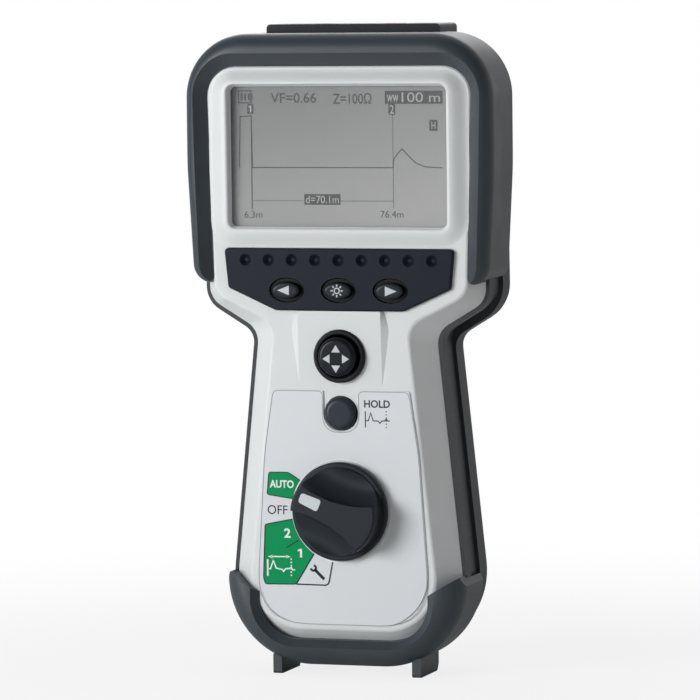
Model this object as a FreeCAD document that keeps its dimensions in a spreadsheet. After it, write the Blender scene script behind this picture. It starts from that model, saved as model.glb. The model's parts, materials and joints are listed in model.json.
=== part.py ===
"""Hand-held time domain reflectometer: moulded case halves with rubber bumpers, display, keys, cursor
pad, rotary selector, test sockets, battery pack and fold-out stand.

Frame, in millimetres: +X is the user's right, +Y runs from the front to the back, +Z is up.
The origin is on the surface that the foot fins stand on, midway across the width and the depth.
"""

import FreeCAD, Part
import math
import os

import Sketcher
from FreeCAD import Vector

# Driving dimensions: name, value in millimetres or degrees, what it measures
SIZES = [
    ("overall_depth", 51.0, "crest of the knob to the back face"),
    ("knob_rise", 11.8, "crest of the knob in front of the face"),
    ("lip_proud", 4.0, "top bumper's lip in front of the face"),
    ("boot_proud", 3.0, "boot's lip in front of the face"),
    ("front_depth", 8.2, "face to the joint of the case halves"),
    ("case_wall", 2.5, "wall of the case"),
    ("head_half", 50.4, "front case, half width of the head"),
    ("head_above", 8.5, "head's top above the display opening"),
    ("head_corner", 12.0, "front case, radius of the head's corners"),
    ("shoulder_half", 51.2, "front case, half width of the shoulder"),
    ("shoulder_below", 3.9, "shoulder below the keys"),
    ("neck_half", 32.9, "front case, half width of the neck"),
    ("neck_below", 11.0, "neck below the shoulder"),
    ("waist_round", 8.0, "front case, radius of the shoulder and the neck"),
    ("foot_half", 44.5, "front case, half width at its lower edge"),
    ("foot_height", 8.3, "front case, height of its lower edge"),
    ("foot_corner", 27.0, "front case, radius of the lower corners"),
    ("head_lean", 1.4, "lean of the head's sides towards the face"),
    ("shoulder_lean", 4.6, "lean of the shoulder towards the face"),
    ("grip_lean", 8.3, "lean of the grip's sides towards the face"),
    ("foot_lean", 8.5, "lean of the lower edge towards the face"),
    ("face_round", 1.5, "rounding of the face's edge"),
    ("rear_step", 1.6, "rear case's grip outside the front case"),
    ("rear_head_step", 1.3, "rear case's head outside the front case"),
    ("rear_shoulder_drop", 2.3, "rear case's shoulder behind the channel, below the front case's"),
    ("bead_depth", 6.0, "rear case, bead beside the joint"),
    ("channel_width", 11.0, "rear case, channel behind the bead"),
    ("channel_inset", 1.4, "rear case, depth of the channel"),
    ("bead_round", 1.0, "rear case, rounding of the bead"),
    ("back_round", 6.0, "rear case, rounding of the back edge"),
    ("rim_depth", 2.0, "rear case, rim that meets the front case"),
    ("bumper_half", 56.5, "top bumper, half width of the head"),
    ("bumper_turn_above", 20.9, "top bumper, where the sides turn in above the display opening's lower edge"),
    ("bumper_side_round", 150.0, "top bumper, radius where the sides turn in"),
    ("bumper_above", 10.0, "top bumper, its top above the head's"),
    ("bumper_end_half", 54.3, "top bumper, half width at its lower ends"),
    ("bumper_end_above", 2.1, "top bumper, its lower ends above the keys"),
    ("bumper_corner", 22.5, "top bumper, radius of the head's corners"),
    ("bumper_tip_round", 7.0, "top bumper, radius of the lower ends"),
    ("tip_inner_round", 3.6, "top bumper, radius of the lower ends towards the face"),
    ("bumper_roll", 6.0, "top bumper, rounding of the front edge"),
    ("bumper_depth", 29.0, "top bumper, front to back"),
    ("lip_flare", 4.6, "how far the top bumper's lip opens towards the front"),
    ("boot_half", 44.2, "boot, half width"),
    ("boot_shoulder", 32.7, "boot, height of its widest point"),
    ("boot_top", 38.7, "boot, height of its upper edge"),
    ("boot_ramp", 2.7, "boot, how far its sides close in towards the upper edge"),
    ("boot_floor", 3.4, "boot, height of its underside"),
    ("boot_corner", 31.0, "boot, radius of the lower corners"),
    ("boot_roll", 9.0, "boot, rounding of the front edge"),
    ("boot_depth", 28.0, "boot, front to back"),
    ("boot_mouth_half", 31.2, "boot, half width of the mouth at the face"),
    ("boot_mouth_floor", 13.0, "boot, height of the mouth's lower edge"),
    ("boot_mouth_deep", 3.7, "boot, depth of the mouth behind the face"),
    ("boot_mouth_corner", 14.0, "boot, radius of the mouth's corners"),
    ("boot_mouth_bevel", 2.6, "boot, bevel of the mouth's front edge"),
    ("brow_low", 29.6, "boot, height of its front part at the mouth"),
    ("brow_high", 37.2, "boot, height of its front part at the sides"),
    ("fin_centre", 25.8, "foot fins, distance from the middle"),
    ("fin_width", 3.2, "foot fins, width"),
    ("fin_setback", 6.0, "foot fins behind the boot's lip"),
    ("fin_sole", 20.2, "foot fins, length of the sole"),
    ("fin_height", 7.0, "foot fins, height"),
    ("fin_rise", 2.5, "foot fins, height of the sole's raised back end"),
    ("view_half", 39.7, "display opening, half width"),
    ("view_above", 7.5, "display opening above the soft-key panel"),
    ("view_tall", 49.4, "display opening, height"),
    ("view_corner", 2.0, "display opening, radius of the corners"),
    ("view_bevel", 1.3, "display opening, bevel of the edge"),
    ("view_wall", 1.3, "display opening, wall behind the face's plane"),
    ("ridge_width", 3.4, "ridge round the display, width at the sides"),
    ("ridge_band", 2.7, "ridge round the display, width above and below"),
    ("ridge_height", 1.4, "ridge round the display, height"),
    ("ridge_round", 1.2, "ridge round the display, rounding of its crest"),
    ("ridge_corner", 5.0, "ridge round the display, radius of the corners"),
    ("pane_thick", 1.2, "display window, thickness"),
    ("pane_margin", 2.0, "display window, cover beyond the opening"),
    ("gasket_thick", 0.5, "display gasket, thickness"),
    ("lcd_thick", 2.4, "display panel, thickness"),
    ("lcd_margin", 1.0, "display panel beyond the opening"),
    ("backlight_thick", 1.4, "backlight, thickness"),
    ("frame_wall", 1.2, "display frame, wall"),
    ("snug", 0.1, "clearance of a piece set into a recess"),
    ("slip", 0.3, "clearance of a piece that moves"),
    ("panel_top_half", 42.3, "soft-key panel, half width at the top"),
    ("panel_above", 14.7, "soft-key panel, upper edge above the keys"),
    ("panel_side_half", 40.9, "soft-key panel, half width at the sides' lower end"),
    ("panel_side_above", 0.7, "soft-key panel, lower end of the sides above the keys"),
    ("panel_low_half", 23.4, "soft-key panel, half width of the lower edge"),
    ("panel_below", 7.2, "soft-key panel, lower edge below the keys"),
    ("panel_round", 1.5, "soft-key panel, radius of the corners"),
    ("panel_thick", 1.0, "soft-key panel, depth in the face"),
    ("panel_proud", 1.7, "soft-key panel in front of the face"),
    ("panel_edge", 0.5, "soft-key panel, rounding of the front edge"),
    ("dimple_count", 9, "soft-key panel, number of dimples"),
    ("dimple_pitch", 8.6, "soft-key panel, distance between dimples"),
    ("dimple_above", 10.6, "soft-key panel, dimples above the keys"),
    ("dimple_radius", 0.7, "soft-key panel, radius of a dimple's floor"),
    ("dimple_deep", 1.5, "soft-key panel, depth of a dimple"),
    ("dimple_bevel", 1.4, "soft-key panel, bevel of a dimple's edge"),
    ("key_pitch", 19.1, "keys, distance between centres"),
    ("key_rise", 23.2, "keys above the cursor pad"),
    ("key_long", 6.2, "keys, long half axis"),
    ("key_short", 4.1, "keys, short half axis"),
    ("key_proud", 1.7, "keys, height in front of the panel"),
    ("key_round", 1.2, "keys, rounding of the front edge"),
    ("key_moat", 1.1, "keys, sunk rim round the cap"),
    ("key_sink", 0.8, "keys, depth of the rim behind the panel's front"),
    ("key_travel", 0.9, "keys, travel"),
    ("flange_over", 1.2, "flange of a key beyond its opening"),
    ("flange_thick", 0.8, "flange of a key, thickness"),
    ("plunger_radius", 2.0, "plunger behind a key, radius"),
    ("nav_rise", 20.2, "cursor pad above the hold button"),
    ("collar_radius", 9.4, "cursor pad's collar, radius"),
    ("collar_proud", 2.2, "cursor pad's collar in front of the face"),
    ("collar_round", 0.6, "cursor pad's collar, rounding of the front edge"),
    ("nav_radius", 6.9, "cursor pad, radius"),
    ("nav_round", 1.6, "cursor pad, rounding of the front edge"),
    ("nav_proud", 5.4, "cursor pad in front of the face"),
    ("nav_tilt_gap", 0.7, "room round the cursor pad for its tilt"),
    ("nav_skirt", 8.6, "cursor pad, radius of its hidden skirt"),
    ("nav_skirt_thick", 0.8, "cursor pad, thickness of its hidden skirt"),
    ("nav_socket", 3.0, "cursor pad, radius of the socket over its cross piece"),
    ("pivot_radius", 2.4, "cursor pad's cross piece, radius"),
    ("pivot_thick", 1.2, "cursor pad's cross piece, thickness"),
    ("hold_rise", 34.5, "hold button above the selector"),
    ("hold_radius", 5.9, "hold button, radius"),
    ("hold_proud", 2.4, "hold button in front of the face"),
    ("hold_round", 2.0, "hold button, rounding of the front edge"),
    ("hold_travel", 1.5, "hold button, travel"),
    ("plateau_half", 15.3, "raised ground of the cursor pad, half width"),
    ("plateau_gap", 1.5, "raised ground of the cursor pad, its foot above the label"),
    ("label_thick", 0.5, "label plate, thickness"),
    ("label_above", 8.1, "label plate, upper edge above the hold button"),
    ("label_top_half", 25.3, "label plate, half width at the top"),
    ("label_mid_half", 28.7, "label plate, half width where the sides turn"),
    ("label_turn_above", 20.0, "label plate, where the sides turn above the selector"),
    ("label_low", 18.3, "label plate, lower edge"),
    ("label_low_half", 32.6, "label plate, half width at the lower edge"),
    ("label_corner", 18.5, "label plate, radius of the lower corners"),
    ("label_side_round", 120.0, "label plate, radius where the sides turn"),
    ("label_notch", 6.4, "label plate, half width of the notch at the hold button"),
    ("label_notch_round", 6.2, "label plate, radius of the notch's floor"),
    ("label_round", 0.8, "label plate, radius of the upper corners"),
    ("knob_height", 59.0, "selector, height of the centre"),
    ("knob_radius", 17.5, "selector, radius of the skirt"),
    ("skirt_thick", 3.0, "selector, thickness of the skirt"),
    ("knob_body_radius", 15.6, "selector, radius above the skirt"),
    ("bar_half", 3.9, "selector, half width of the finger bar at its waist"),
    ("scoop_sweep", 40.0, "selector, radius of the finger scoops seen from the front"),
    ("scoop_waist", 5.5, "selector, distance of the finger bar's waist from the middle"),
    ("knob_scoop", 7.6, "selector, radius of the finger scoops across"),
    ("knob_edge", 0.8, "selector, rounding of the edges"),
    ("knob_bore_deep", 7.0, "selector, depth of the bore for its shaft"),
    ("pointer_inset", 1.6, "pointer insert, distance from the rim"),
    ("knob_lift", 0.4, "selector, gap above the label"),
    ("knob_rest", 157.5, "selector, angle of the pointer from +X"),
    ("pointer_length", 7.2, "pointer insert, length"),
    ("pointer_width", 4.2, "pointer insert, width"),
    ("pointer_round", 1.3, "pointer insert, radius of the corners"),
    ("pointer_thick", 1.0, "pointer insert, thickness"),
    ("shaft_radius", 3.0, "selector's shaft, radius"),
    ("shaft_fit", 0.05, "radial clearance of a shaft in its bush"),
    ("bush_radius", 6.5, "bush of the selector's shaft, radius"),
    ("bush_length", 3.2, "bush of the selector's shaft behind the wall"),
    ("clip_radius", 5.2, "clip on the selector's shaft, radius"),
    ("clip_thick", 0.8, "clip on the selector's shaft, thickness"),
    ("switch_radius", 12.0, "rotary switch, radius"),
    ("switch_thick", 4.6, "rotary switch, thickness"),
    ("board_thick", 1.6, "circuit boards, thickness"),
    ("main_board_gap", 3.5, "main board behind the joint of the case halves"),
    ("main_board_half", 39.0, "main board, half width in the head"),
    ("main_board_neck", 26.0, "main board, half width in the grip"),
    ("main_board_low", 22.0, "main board, lower edge"),
    ("main_board_step_above", 6.1, "main board, where it widens above the keys"),
    ("main_board_below", 14.0, "main board, upper edge below the head's top"),
    ("key_board_gap", 5.2, "key board behind the wall of the face"),
    ("key_board_half", 28.0, "key board, half width"),
    ("key_board_below", 9.5, "key board, lower edge below the hold button"),
    ("key_board_above", 14.1, "key board, upper edge above the keys"),
    ("post_radius", 2.2, "posts of the key board, radius"),
    ("post_half", 24.5, "upper posts of the key board, distance from the middle"),
    ("post_above", 10.1, "upper posts of the key board above the keys"),
    ("low_post_half", 16.0, "lower posts of the key board, distance from the middle"),
    ("low_post_below", 5.5, "lower posts of the key board below the hold button"),
    ("dome_radius", 2.1, "dome switches, radius"),
    ("dome_thick", 0.8, "dome switches, thickness"),
    ("nav_dome_reach", 5.6, "dome switches of the cursor pad, distance from its centre"),
    ("connector_width", 20.0, "board connector, width"),
    ("connector_tall", 5.0, "board connector, height"),
    ("connector_above", 6.5, "board connector above the hold button"),
    ("buzzer_radius", 6.0, "buzzer, radius"),
    ("buzzer_thick", 4.5, "buzzer, thickness"),
    ("buzzer_offset", 16.0, "buzzer, distance from the middle"),
    ("buzzer_height", 34.0, "buzzer, height of the centre"),
    ("cell_radius", 7.2, "battery cells, radius"),
    ("cell_length", 50.0, "battery cells, length"),
    ("cell_gap", 0.4, "room between neighbouring cells"),
    ("cell_low", 21.0, "battery cells, lower end of the stack"),
    ("tray_wall", 1.5, "battery tray, wall"),
    ("contact_thick", 0.5, "battery contacts, thickness of the plates"),
    ("spring_length", 2.5, "battery contacts, length of the springs"),
    ("spring_radius", 3.5, "battery contacts, radius of the springs"),
    ("cover_thick", 2.4, "battery cover, thickness"),
    ("ledge_thick", 2.5, "ledge under the battery cover, thickness"),
    ("cover_margin", 2.2, "battery cover, cover beyond its opening"),
    ("cover_tab", 10.0, "battery cover, tab for the screws above the opening"),
    ("cover_corner", 3.0, "battery cover, radius of the corners"),
    ("seal_thick", 0.6, "battery cover's seal, thickness"),
    ("seal_width", 1.2, "battery cover's seal, width"),
    ("cover_screw_offset", 14.0, "cover screws, distance from the middle"),
    ("screw_radius", 1.5, "screws, radius of the shank"),
    ("screw_head_radius", 2.8, "screws, radius of the head"),
    ("screw_head_thick", 1.4, "screws, thickness of the head"),
    ("screw_boss_radius", 3.0, "screw bosses of the front case, radius"),
    ("boss_wall", 1.2, "screw bosses of the rear case, wall round the head"),
    ("cover_screw_length", 9.0, "cover screws, length of the shank"),
    ("case_screw_length", 16.0, "case screws, length of the shank"),
    ("case_screw_bite", 4.0, "case screws, length in the front case"),
    ("head_screw_half", 45.2, "upper case screws, distance from the middle"),
    ("head_screw_below", 11.0, "upper case screws below the head's top"),
    ("shoulder_screw_half", 43.8, "middle case screws, distance from the middle"),
    ("shoulder_screw_above", 8.6, "middle case screws above the keys"),
    ("foot_screw_half", 33.0, "lower case screws, distance from the middle"),
    ("foot_screw_height", 36.0, "lower case screws, height"),
    ("gasket_inset", 0.8, "case gasket, inset from the front case's outside"),
    ("gasket_width", 1.0, "case gasket, width"),
    ("gasket_deep", 0.8, "case gasket, depth"),
    ("block_half", 32.2, "terminal block, half width"),
    ("block_front", 4.5, "terminal block, its front face behind the middle of the depth"),
    ("block_below", 8.5, "terminal block, lower end below the head's top"),
    ("block_rise", 3.0, "terminal block, its top above the top bumper"),
    ("block_sink", 0.3, "terminal block's back face inside the case's back"),
    ("block_round", 1.5, "terminal block, rounding of the top edges"),
    ("socket_offset", 13.0, "test sockets, distance from the middle"),
    ("socket_setback", 8.0, "test sockets, distance behind the block's front face"),
    ("well_radius", 4.1, "test sockets, radius of the well"),
    ("well_deep", 18.0, "test sockets, depth of the well"),
    ("contact_radius", 2.8, "test sockets, outside radius of the contact tube"),
    ("contact_bore", 2.0, "test sockets, radius of the contact's bore"),
    ("contact_length", 16.0, "test sockets, length of the contact tube"),
    ("collar_outer", 7.0, "test sockets, radius of the coloured collar"),
    ("socket_collar_thick", 0.8, "test sockets, thickness of the coloured collar"),
    ("stand_half", 28.0, "tilt stand, half width"),
    ("stand_thick", 4.0, "tilt stand, thickness"),
    ("stand_length", 54.0, "tilt stand, length below the hinge"),
    ("stand_axis_below", 16.0, "tilt stand, hinge below the head's top"),
    ("stand_corner", 6.0, "tilt stand, radius of the lower corners"),
    ("stand_panel_half", 18.0, "tilt stand, half width of its sunk panel"),
    ("stand_rail", 10.0, "tilt stand, bars above and below its panel"),
    ("stand_panel_deep", 1.5, "tilt stand, depth of its sunk panel"),
    ("bay_gap", 0.5, "room round the tilt stand in its bay"),
    ("bay_finger", 3.2, "room below the tilt stand for a fingertip"),
    ("pin_radius", 1.2, "hinge pin of the stand, radius"),
    ("pin_grip", 2.0, "hinge pin of the stand, length held at each end"),
]

doc = FreeCAD.newDocument("reflectometer")
sheet = doc.addObject("Spreadsheet::Sheet", "Sizes")
for row, (alias, value, meaning) in enumerate(SIZES, 1):
    sheet.set(f"A{row}", meaning)
    sheet.set(f"B{row}", str(value))
    sheet.setAlias(f"B{row}", alias)
doc.recompute()


class Size:
    """A length or an angle: its value now, and the spreadsheet formula that gives it."""

    def __init__(self, value, formula):
        self.value = float(value)
        self.formula = formula

    def joined(self, other, sign, swap=False):
        other = other if isinstance(other, Size) else Size(other, repr(float(other)))
        left, right = (other, self) if swap else (self, other)
        results = {
            "+": left.value + right.value,
            "-": left.value - right.value,
            "*": left.value * right.value,
            "/": left.value / right.value if right.value else math.inf,
        }
        return Size(results[sign], f"({left.formula} {sign} {right.formula})")

    def __add__(self, other):
        return self.joined(other, "+")

    def __radd__(self, other):
        return self.joined(other, "+", swap=True)

    def __sub__(self, other):
        return self.joined(other, "-")

    def __rsub__(self, other):
        return self.joined(other, "-", swap=True)

    def __mul__(self, other):
        return self.joined(other, "*")

    def __rmul__(self, other):
        return self.joined(other, "*", swap=True)

    def __truediv__(self, other):
        return self.joined(other, "/")

    def __neg__(self):
        return self.joined(-1, "*")


class Sizes:
    """The spreadsheet's cells by alias, as Size values."""

    def __getattr__(self, alias):
        return Size(sheet.get(alias), f"Sizes.{alias}")


d = Sizes()


def value_of(size):
    return size.value if isinstance(size, Size) else float(size)


def bind(item, path, size):
    """Ties a property of a document object to the spreadsheet."""
    formula = size.formula if isinstance(size, Size) else repr(float(size))
    item.setExpression(path, formula)


def new_body(node):
    """An empty body for one piece."""
    made = doc.addObject("PartDesign::Body", node)
    made.Label = node
    return made


def sketch(owner, role, offset, lift=0.0):
    """A sketch of the body's own, on one of its origin planes, moved out along the plane's normal."""
    drawn = owner.newObject("Sketcher::SketchObject", f"{owner.Name}_sketch")
    plane = next(item for item in owner.Origin.OriginFeatures if item.Role == role)
    drawn.AttachmentSupport = [(plane, "")]
    drawn.MapMode = "FlatFace"
    bind(drawn, "AttachmentOffset.Base.z", offset)
    bind(drawn, "AttachmentOffset.Base.y", lift)
    return drawn


def front_sketch(owner, depth):
    """A sketch seen from the front: across is X, up is Z, at one depth."""
    return sketch(owner, "XZ_Plane", -depth)


def pin_point(drawn, geometry, position, across, up):
    """Ties a point of a sketch to the spreadsheet, measured from the sketch's origin."""
    for kind, axis, size in (("DistanceX", -2, across), ("DistanceY", -1, up)):
        if abs(value_of(size)) < 1e-9:
            drawn.addConstraint(Sketcher.Constraint("PointOnObject", geometry, position, axis))
            continue
        ends = (-1, 1, geometry, position) if value_of(size) > 0 else (geometry, position, -1, 1)
        size = size if value_of(size) > 0 else -size
        index = drawn.addConstraint(Sketcher.Constraint(kind, *ends, value_of(size)))
        bind(drawn, f"Constraints[{index}]", size)


def outline(drawn, corners):
    """Draws a closed polygon, anticlockwise, from (across, up, radius); radius None is a sharp corner."""
    count = len(corners)
    points = [Vector(value_of(across), value_of(up), 0) for across, up, _ in corners]
    starts, ends, arcs = [], [], []
    for i, (_, _, radius) in enumerate(corners):
        corner = points[i]
        if radius is None:
            starts.append(corner)
            ends.append(corner)
            arcs.append(None)
            continue
        before = (points[i - 1] - corner).normalize()
        after = (points[(i + 1) % count] - corner).normalize()
        half_angle = before.getAngle(after) / 2
        reach = value_of(radius) / math.tan(half_angle)
        centre = corner + (before + after).normalize() * (value_of(radius) / math.sin(half_angle))
        middle = centre + (corner - centre).normalize() * value_of(radius)
        starts.append(corner + before * reach)
        ends.append(corner + after * reach)
        convex = before.cross(after).z < 0
        first, last = (starts[i], ends[i]) if convex else (ends[i], starts[i])
        arcs.append((drawn.addGeometry(Part.Arc(first, middle, last)), convex))
    lines = [
        drawn.addGeometry(Part.LineSegment(ends[i], starts[(i + 1) % count])) for i in range(count)
    ]
    for i, (across, up, radius) in enumerate(corners):
        if arcs[i] is None:
            drawn.addConstraint(Sketcher.Constraint("Coincident", lines[i - 1], 2, lines[i], 1))
            pin_point(drawn, lines[i], 1, across, up)
            continue
        arc, convex = arcs[i]
        enter, leave = (1, 2) if convex else (2, 1)
        mark = drawn.addGeometry(Part.Point(points[i]), True)
        drawn.addConstraint([
            Sketcher.Constraint("Tangent", lines[i - 1], 2, arc, enter),
            Sketcher.Constraint("Tangent", lines[i], 1, arc, leave),
            Sketcher.Constraint("PointOnObject", mark, 1, lines[i - 1]),
            Sketcher.Constraint("PointOnObject", mark, 1, lines[i]),
        ])
        index = drawn.addConstraint(Sketcher.Constraint("Radius", arc, value_of(radius)))
        bind(drawn, f"Constraints[{index}]", radius)
        pin_point(drawn, mark, 1, across, up)


def disc(drawn, across, up, radius):
    """Draws a circle tied to the spreadsheet."""
    centre = Vector(value_of(across), value_of(up), 0)
    ring = drawn.addGeometry(Part.Circle(centre, Vector(0, 0, 1), value_of(radius)))
    index = drawn.addConstraint(Sketcher.Constraint("Radius", ring, value_of(radius)))
    bind(drawn, f"Constraints[{index}]", radius)
    pin_point(drawn, ring, 3, across, up)


def oval(drawn, across, up, long_half, short_half):
    """Draws an ellipse, long axis across, tied to the spreadsheet."""
    centre = Vector(value_of(across), value_of(up), 0)
    ring = drawn.addGeometry(Part.Ellipse(centre, value_of(long_half), value_of(short_half)))
    drawn.exposeInternalGeometry(ring)
    pin_point(drawn, ring, 3, across, up)
    drawn.addConstraint(Sketcher.Constraint("Horizontal", ring + 1))
    for axis, half in ((ring + 1, long_half), (ring + 2, short_half)):
        index = drawn.addConstraint(Sketcher.Constraint("Distance", axis, 2 * value_of(half)))
        bind(drawn, f"Constraints[{index}]", 2 * half)


def both_sides(right):
    """A symmetric outline from its right-hand corners, listed from the top down."""
    return list(reversed(right)) + [(-across, up, radius) for across, up, radius in right]


def block_corners(left, right, low, high, radius):
    return [(right, low, radius), (right, high, radius), (left, high, radius), (left, low, radius)]


def extrude(owner, drawn, length, cut=False):
    """Pads or pockets a sketch towards the back."""
    kind = "PartDesign::Pocket" if cut else "PartDesign::Pad"
    made = owner.newObject(kind, f"{owner.Name}_{'pocket' if cut else 'pad'}")
    made.Profile = drawn
    made.Reversed = not cut
    bind(made, "Length", length)
    drawn.Visibility = False
    doc.recompute()
    return made


def slab(owner, outlines, front, back, cut=False):
    """Pads or pockets closed outlines between two depths."""
    drawn = front_sketch(owner, front)
    for corners in outlines:
        outline(drawn, corners)
    return extrude(owner, drawn, back - front, cut)


def round_slab(owner, circles, front, back, cut=False):
    """Pads or pockets circles, each (across, up, radius), between two depths."""
    drawn = front_sketch(owner, front)
    for across, up, radius in circles:
        disc(drawn, across, up, radius)
    return extrude(owner, drawn, back - front, cut)


def oval_slab(owner, ovals, front, back, cut=False):
    """Pads or pockets ellipses, each (across, up, long half, short half), between two depths."""
    drawn = front_sketch(owner, front)
    for across, up, long_half, short_half in ovals:
        oval(drawn, across, up, long_half, short_half)
    return extrude(owner, drawn, back - front, cut)


def loft(owner, sections, cut=False):
    """A ruled loft through outlines, each (depth, corners)."""
    drawn = []
    for depth, corners in sections:
        drawn.append(front_sketch(owner, depth))
        outline(drawn[-1], corners)
    kind = "PartDesign::SubtractiveLoft" if cut else "PartDesign::AdditiveLoft"
    made = owner.newObject(kind, f"{owner.Name}_loft")
    made.Profile = drawn[0]
    made.Sections = drawn[1:]
    made.Ruled = True
    doc.recompute()
    return made


def side_slab(owner, corners, left, right):
    """Pads an outline seen from the side, corners (depth, up, radius), between two planes across."""
    drawn = sketch(owner, "YZ_Plane", left)
    outline(drawn, corners)
    made = owner.newObject("PartDesign::Pad", f"{owner.Name}_side_pad")
    made.Profile = drawn
    bind(made, "Length", right - left)
    doc.recompute()
    return made


def turned(owner, profile, height, cut=False):
    """Turns a profile, given as (depth, radius, rounding), about a front-to-back axis at one height."""
    drawn = sketch(owner, "YZ_Plane", 0.0, lift=height)
    outline(drawn, profile)
    kind = "PartDesign::Groove" if cut else "PartDesign::Revolution"
    made = owner.newObject(kind, f"{owner.Name}_turned")
    made.Profile = drawn
    made.ReferenceAxis = (drawn, ["H_Axis"])
    made.Angle = 360.0
    doc.recompute()
    return made


# Distance within which an edge counts as lying on a plane
NEAR = 0.05


def edges_at(feature, test):
    """Names of a feature's edges whose ends and middle all pass a test on the point."""
    names = []
    for number, edge in enumerate(feature.Shape.Edges, 1):
        middle = edge.valueAt((edge.FirstParameter + edge.LastParameter) / 2)
        if all(test(point) for point in [middle] + [vertex.Point for vertex in edge.Vertexes]):
            names.append(f"Edge{number}")
    return names


def at_depth(depth):
    return lambda point: abs(point.y - value_of(depth)) < NEAR


def soften(owner, feature, names, radius, kind="Fillet"):
    """Fillets or chamfers edges of the body's last feature."""
    made = owner.newObject(f"PartDesign::{kind}", f"{owner.Name}_{kind.lower()}")
    made.Base = (feature, names)
    bind(made, "Radius" if kind == "Fillet" else "Size", radius)
    doc.recompute()
    return made


def box(node, left, right, front, back, low, high):
    """A plain block between six planes."""
    made = doc.addObject("Part::Box", node)
    made.Label = node
    bind(made, "Length", right - left)
    bind(made, "Width", back - front)
    bind(made, "Height", high - low)
    for axis, start in zip("xyz", (left, front, low)):
        bind(made, f"Placement.Base.{axis}", start)
    return made


TURNS = {
    "x": FreeCAD.Rotation(Vector(0, 1, 0), 90),
    "y": FreeCAD.Rotation(Vector(1, 0, 0), -90),
    "z": FreeCAD.Rotation(),
}


def rod(node, axis, start, length, radius):
    """A cylinder along an axis from its start point."""
    made = doc.addObject("Part::Cylinder", node)
    made.Label = node
    made.Placement = FreeCAD.Placement(Vector(), TURNS[axis])
    bind(made, "Radius", radius)
    bind(made, "Height", length)
    for name, size in zip("xyz", start):
        bind(made, f"Placement.Base.{name}", size)
    return made


def fused(node, pieces):
    made = doc.addObject("Part::MultiFuse", node)
    made.Label = node
    made.Shapes = pieces
    return made


def grouped(node, pieces):
    """Separate solids kept in one node."""
    made = doc.addObject("Part::Compound", node)
    made.Label = node
    made.Links = pieces
    return made


def cut_from(node, base, tools):
    made = doc.addObject("Part::Cut", node)
    made.Label = node
    made.Base = base
    made.Tool = tools[0] if len(tools) == 1 else fused(f"{node}_tools", tools)
    return made


# Depth stations
FRONT = -(d.overall_depth / 2)
BACK = d.overall_depth / 2
FACE = FRONT + d.knob_rise
LIP = FACE - d.lip_proud
BOOT_LIP = FACE - d.boot_proud
JOINT = FACE + d.front_depth
INNER = FACE + d.case_wall
RIDGE = FACE - d.ridge_height
CAVITY_BACK = BACK - d.case_wall
PANEL = FACE - d.panel_proud
PANE_BACK = FACE + d.view_wall
KEY_BOARD = INNER + d.key_board_gap
MAIN_BOARD = JOINT + d.main_board_gap

# Height stations, from the selector upwards
HOLD_HEIGHT = d.knob_height + d.hold_rise
LABEL_TOP = HOLD_HEIGHT + d.label_above
NAV_HEIGHT = HOLD_HEIGHT + d.nav_rise
KEY_HEIGHT = NAV_HEIGHT + d.key_rise
SHOULDER_HEIGHT = KEY_HEIGHT - d.shoulder_below
NECK_HEIGHT = SHOULDER_HEIGHT - d.neck_below
PANEL_LOW = KEY_HEIGHT - d.panel_below
PANEL_TOP = KEY_HEIGHT + d.panel_above
BUMPER_END = KEY_HEIGHT + d.bumper_end_above
VIEW_LOW = PANEL_TOP + d.view_above
VIEW_HIGH = VIEW_LOW + d.view_tall
HEAD_TOP = VIEW_HIGH + d.head_above
BUMPER_TOP = HEAD_TOP + d.bumper_above
BLOCK_LOW = HEAD_TOP - d.block_below
BLOCK_TOP = BUMPER_TOP + d.block_rise
STAND_AXIS = HEAD_TOP - d.stand_axis_below
STAND_LOW = STAND_AXIS - d.stand_length

# Slope of the shoulder, which fixes how an outline's shoulder moves when the outline grows
rise = SHOULDER_HEIGHT.value - NECK_HEIGHT.value
run = d.shoulder_half.value - d.neck_half.value
SHOULDER_SHIFT = math.tan(math.pi / 4 - math.atan2(rise, run) / 2)


def joint_outline(grow):
    """Right-hand corners of the front case where the halves meet, grown outwards."""
    drop = SHOULDER_SHIFT * grow
    return [
        (d.head_half + grow, HEAD_TOP + grow, d.head_corner + grow),
        (d.shoulder_half + grow, SHOULDER_HEIGHT - drop, d.waist_round + grow),
        (d.neck_half + grow, NECK_HEIGHT - drop, d.waist_round - grow),
        (d.foot_half + grow, d.foot_height - grow, d.foot_corner + grow),
    ]


def face_outline(grow):
    """Right-hand corners of the flat face, grown outwards."""
    drop = SHOULDER_SHIFT * (grow - d.shoulder_lean)
    head = grow - d.head_lean
    grip = grow - d.grip_lean
    foot = grow - d.foot_lean
    return [
        (d.head_half + head, HEAD_TOP + head, d.head_corner + head),
        (d.shoulder_half - d.shoulder_lean + grow, SHOULDER_HEIGHT - drop, d.waist_round + grow),
        (d.neck_half + grip, NECK_HEIGHT - drop, d.waist_round - grow),
        (d.foot_half + grip, d.foot_height - foot, d.foot_corner + foot),
    ]


def rear_outline(grow, sag=0.0):
    """Right-hand corners of the rear case, grown outwards, with its shoulder let down."""
    head = d.rear_head_step + grow
    grip = d.rear_step + grow
    drop = SHOULDER_SHIFT * grip + sag
    return [
        (d.head_half + head, HEAD_TOP + head, d.head_corner + head),
        (d.shoulder_half + head, SHOULDER_HEIGHT - drop, d.waist_round + grip + 2 * sag),
        (d.neck_half + grip, NECK_HEIGHT - drop, d.waist_round - grip),
        (d.foot_half + grip, d.foot_height - grip, d.foot_corner + grip),
    ]


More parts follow.
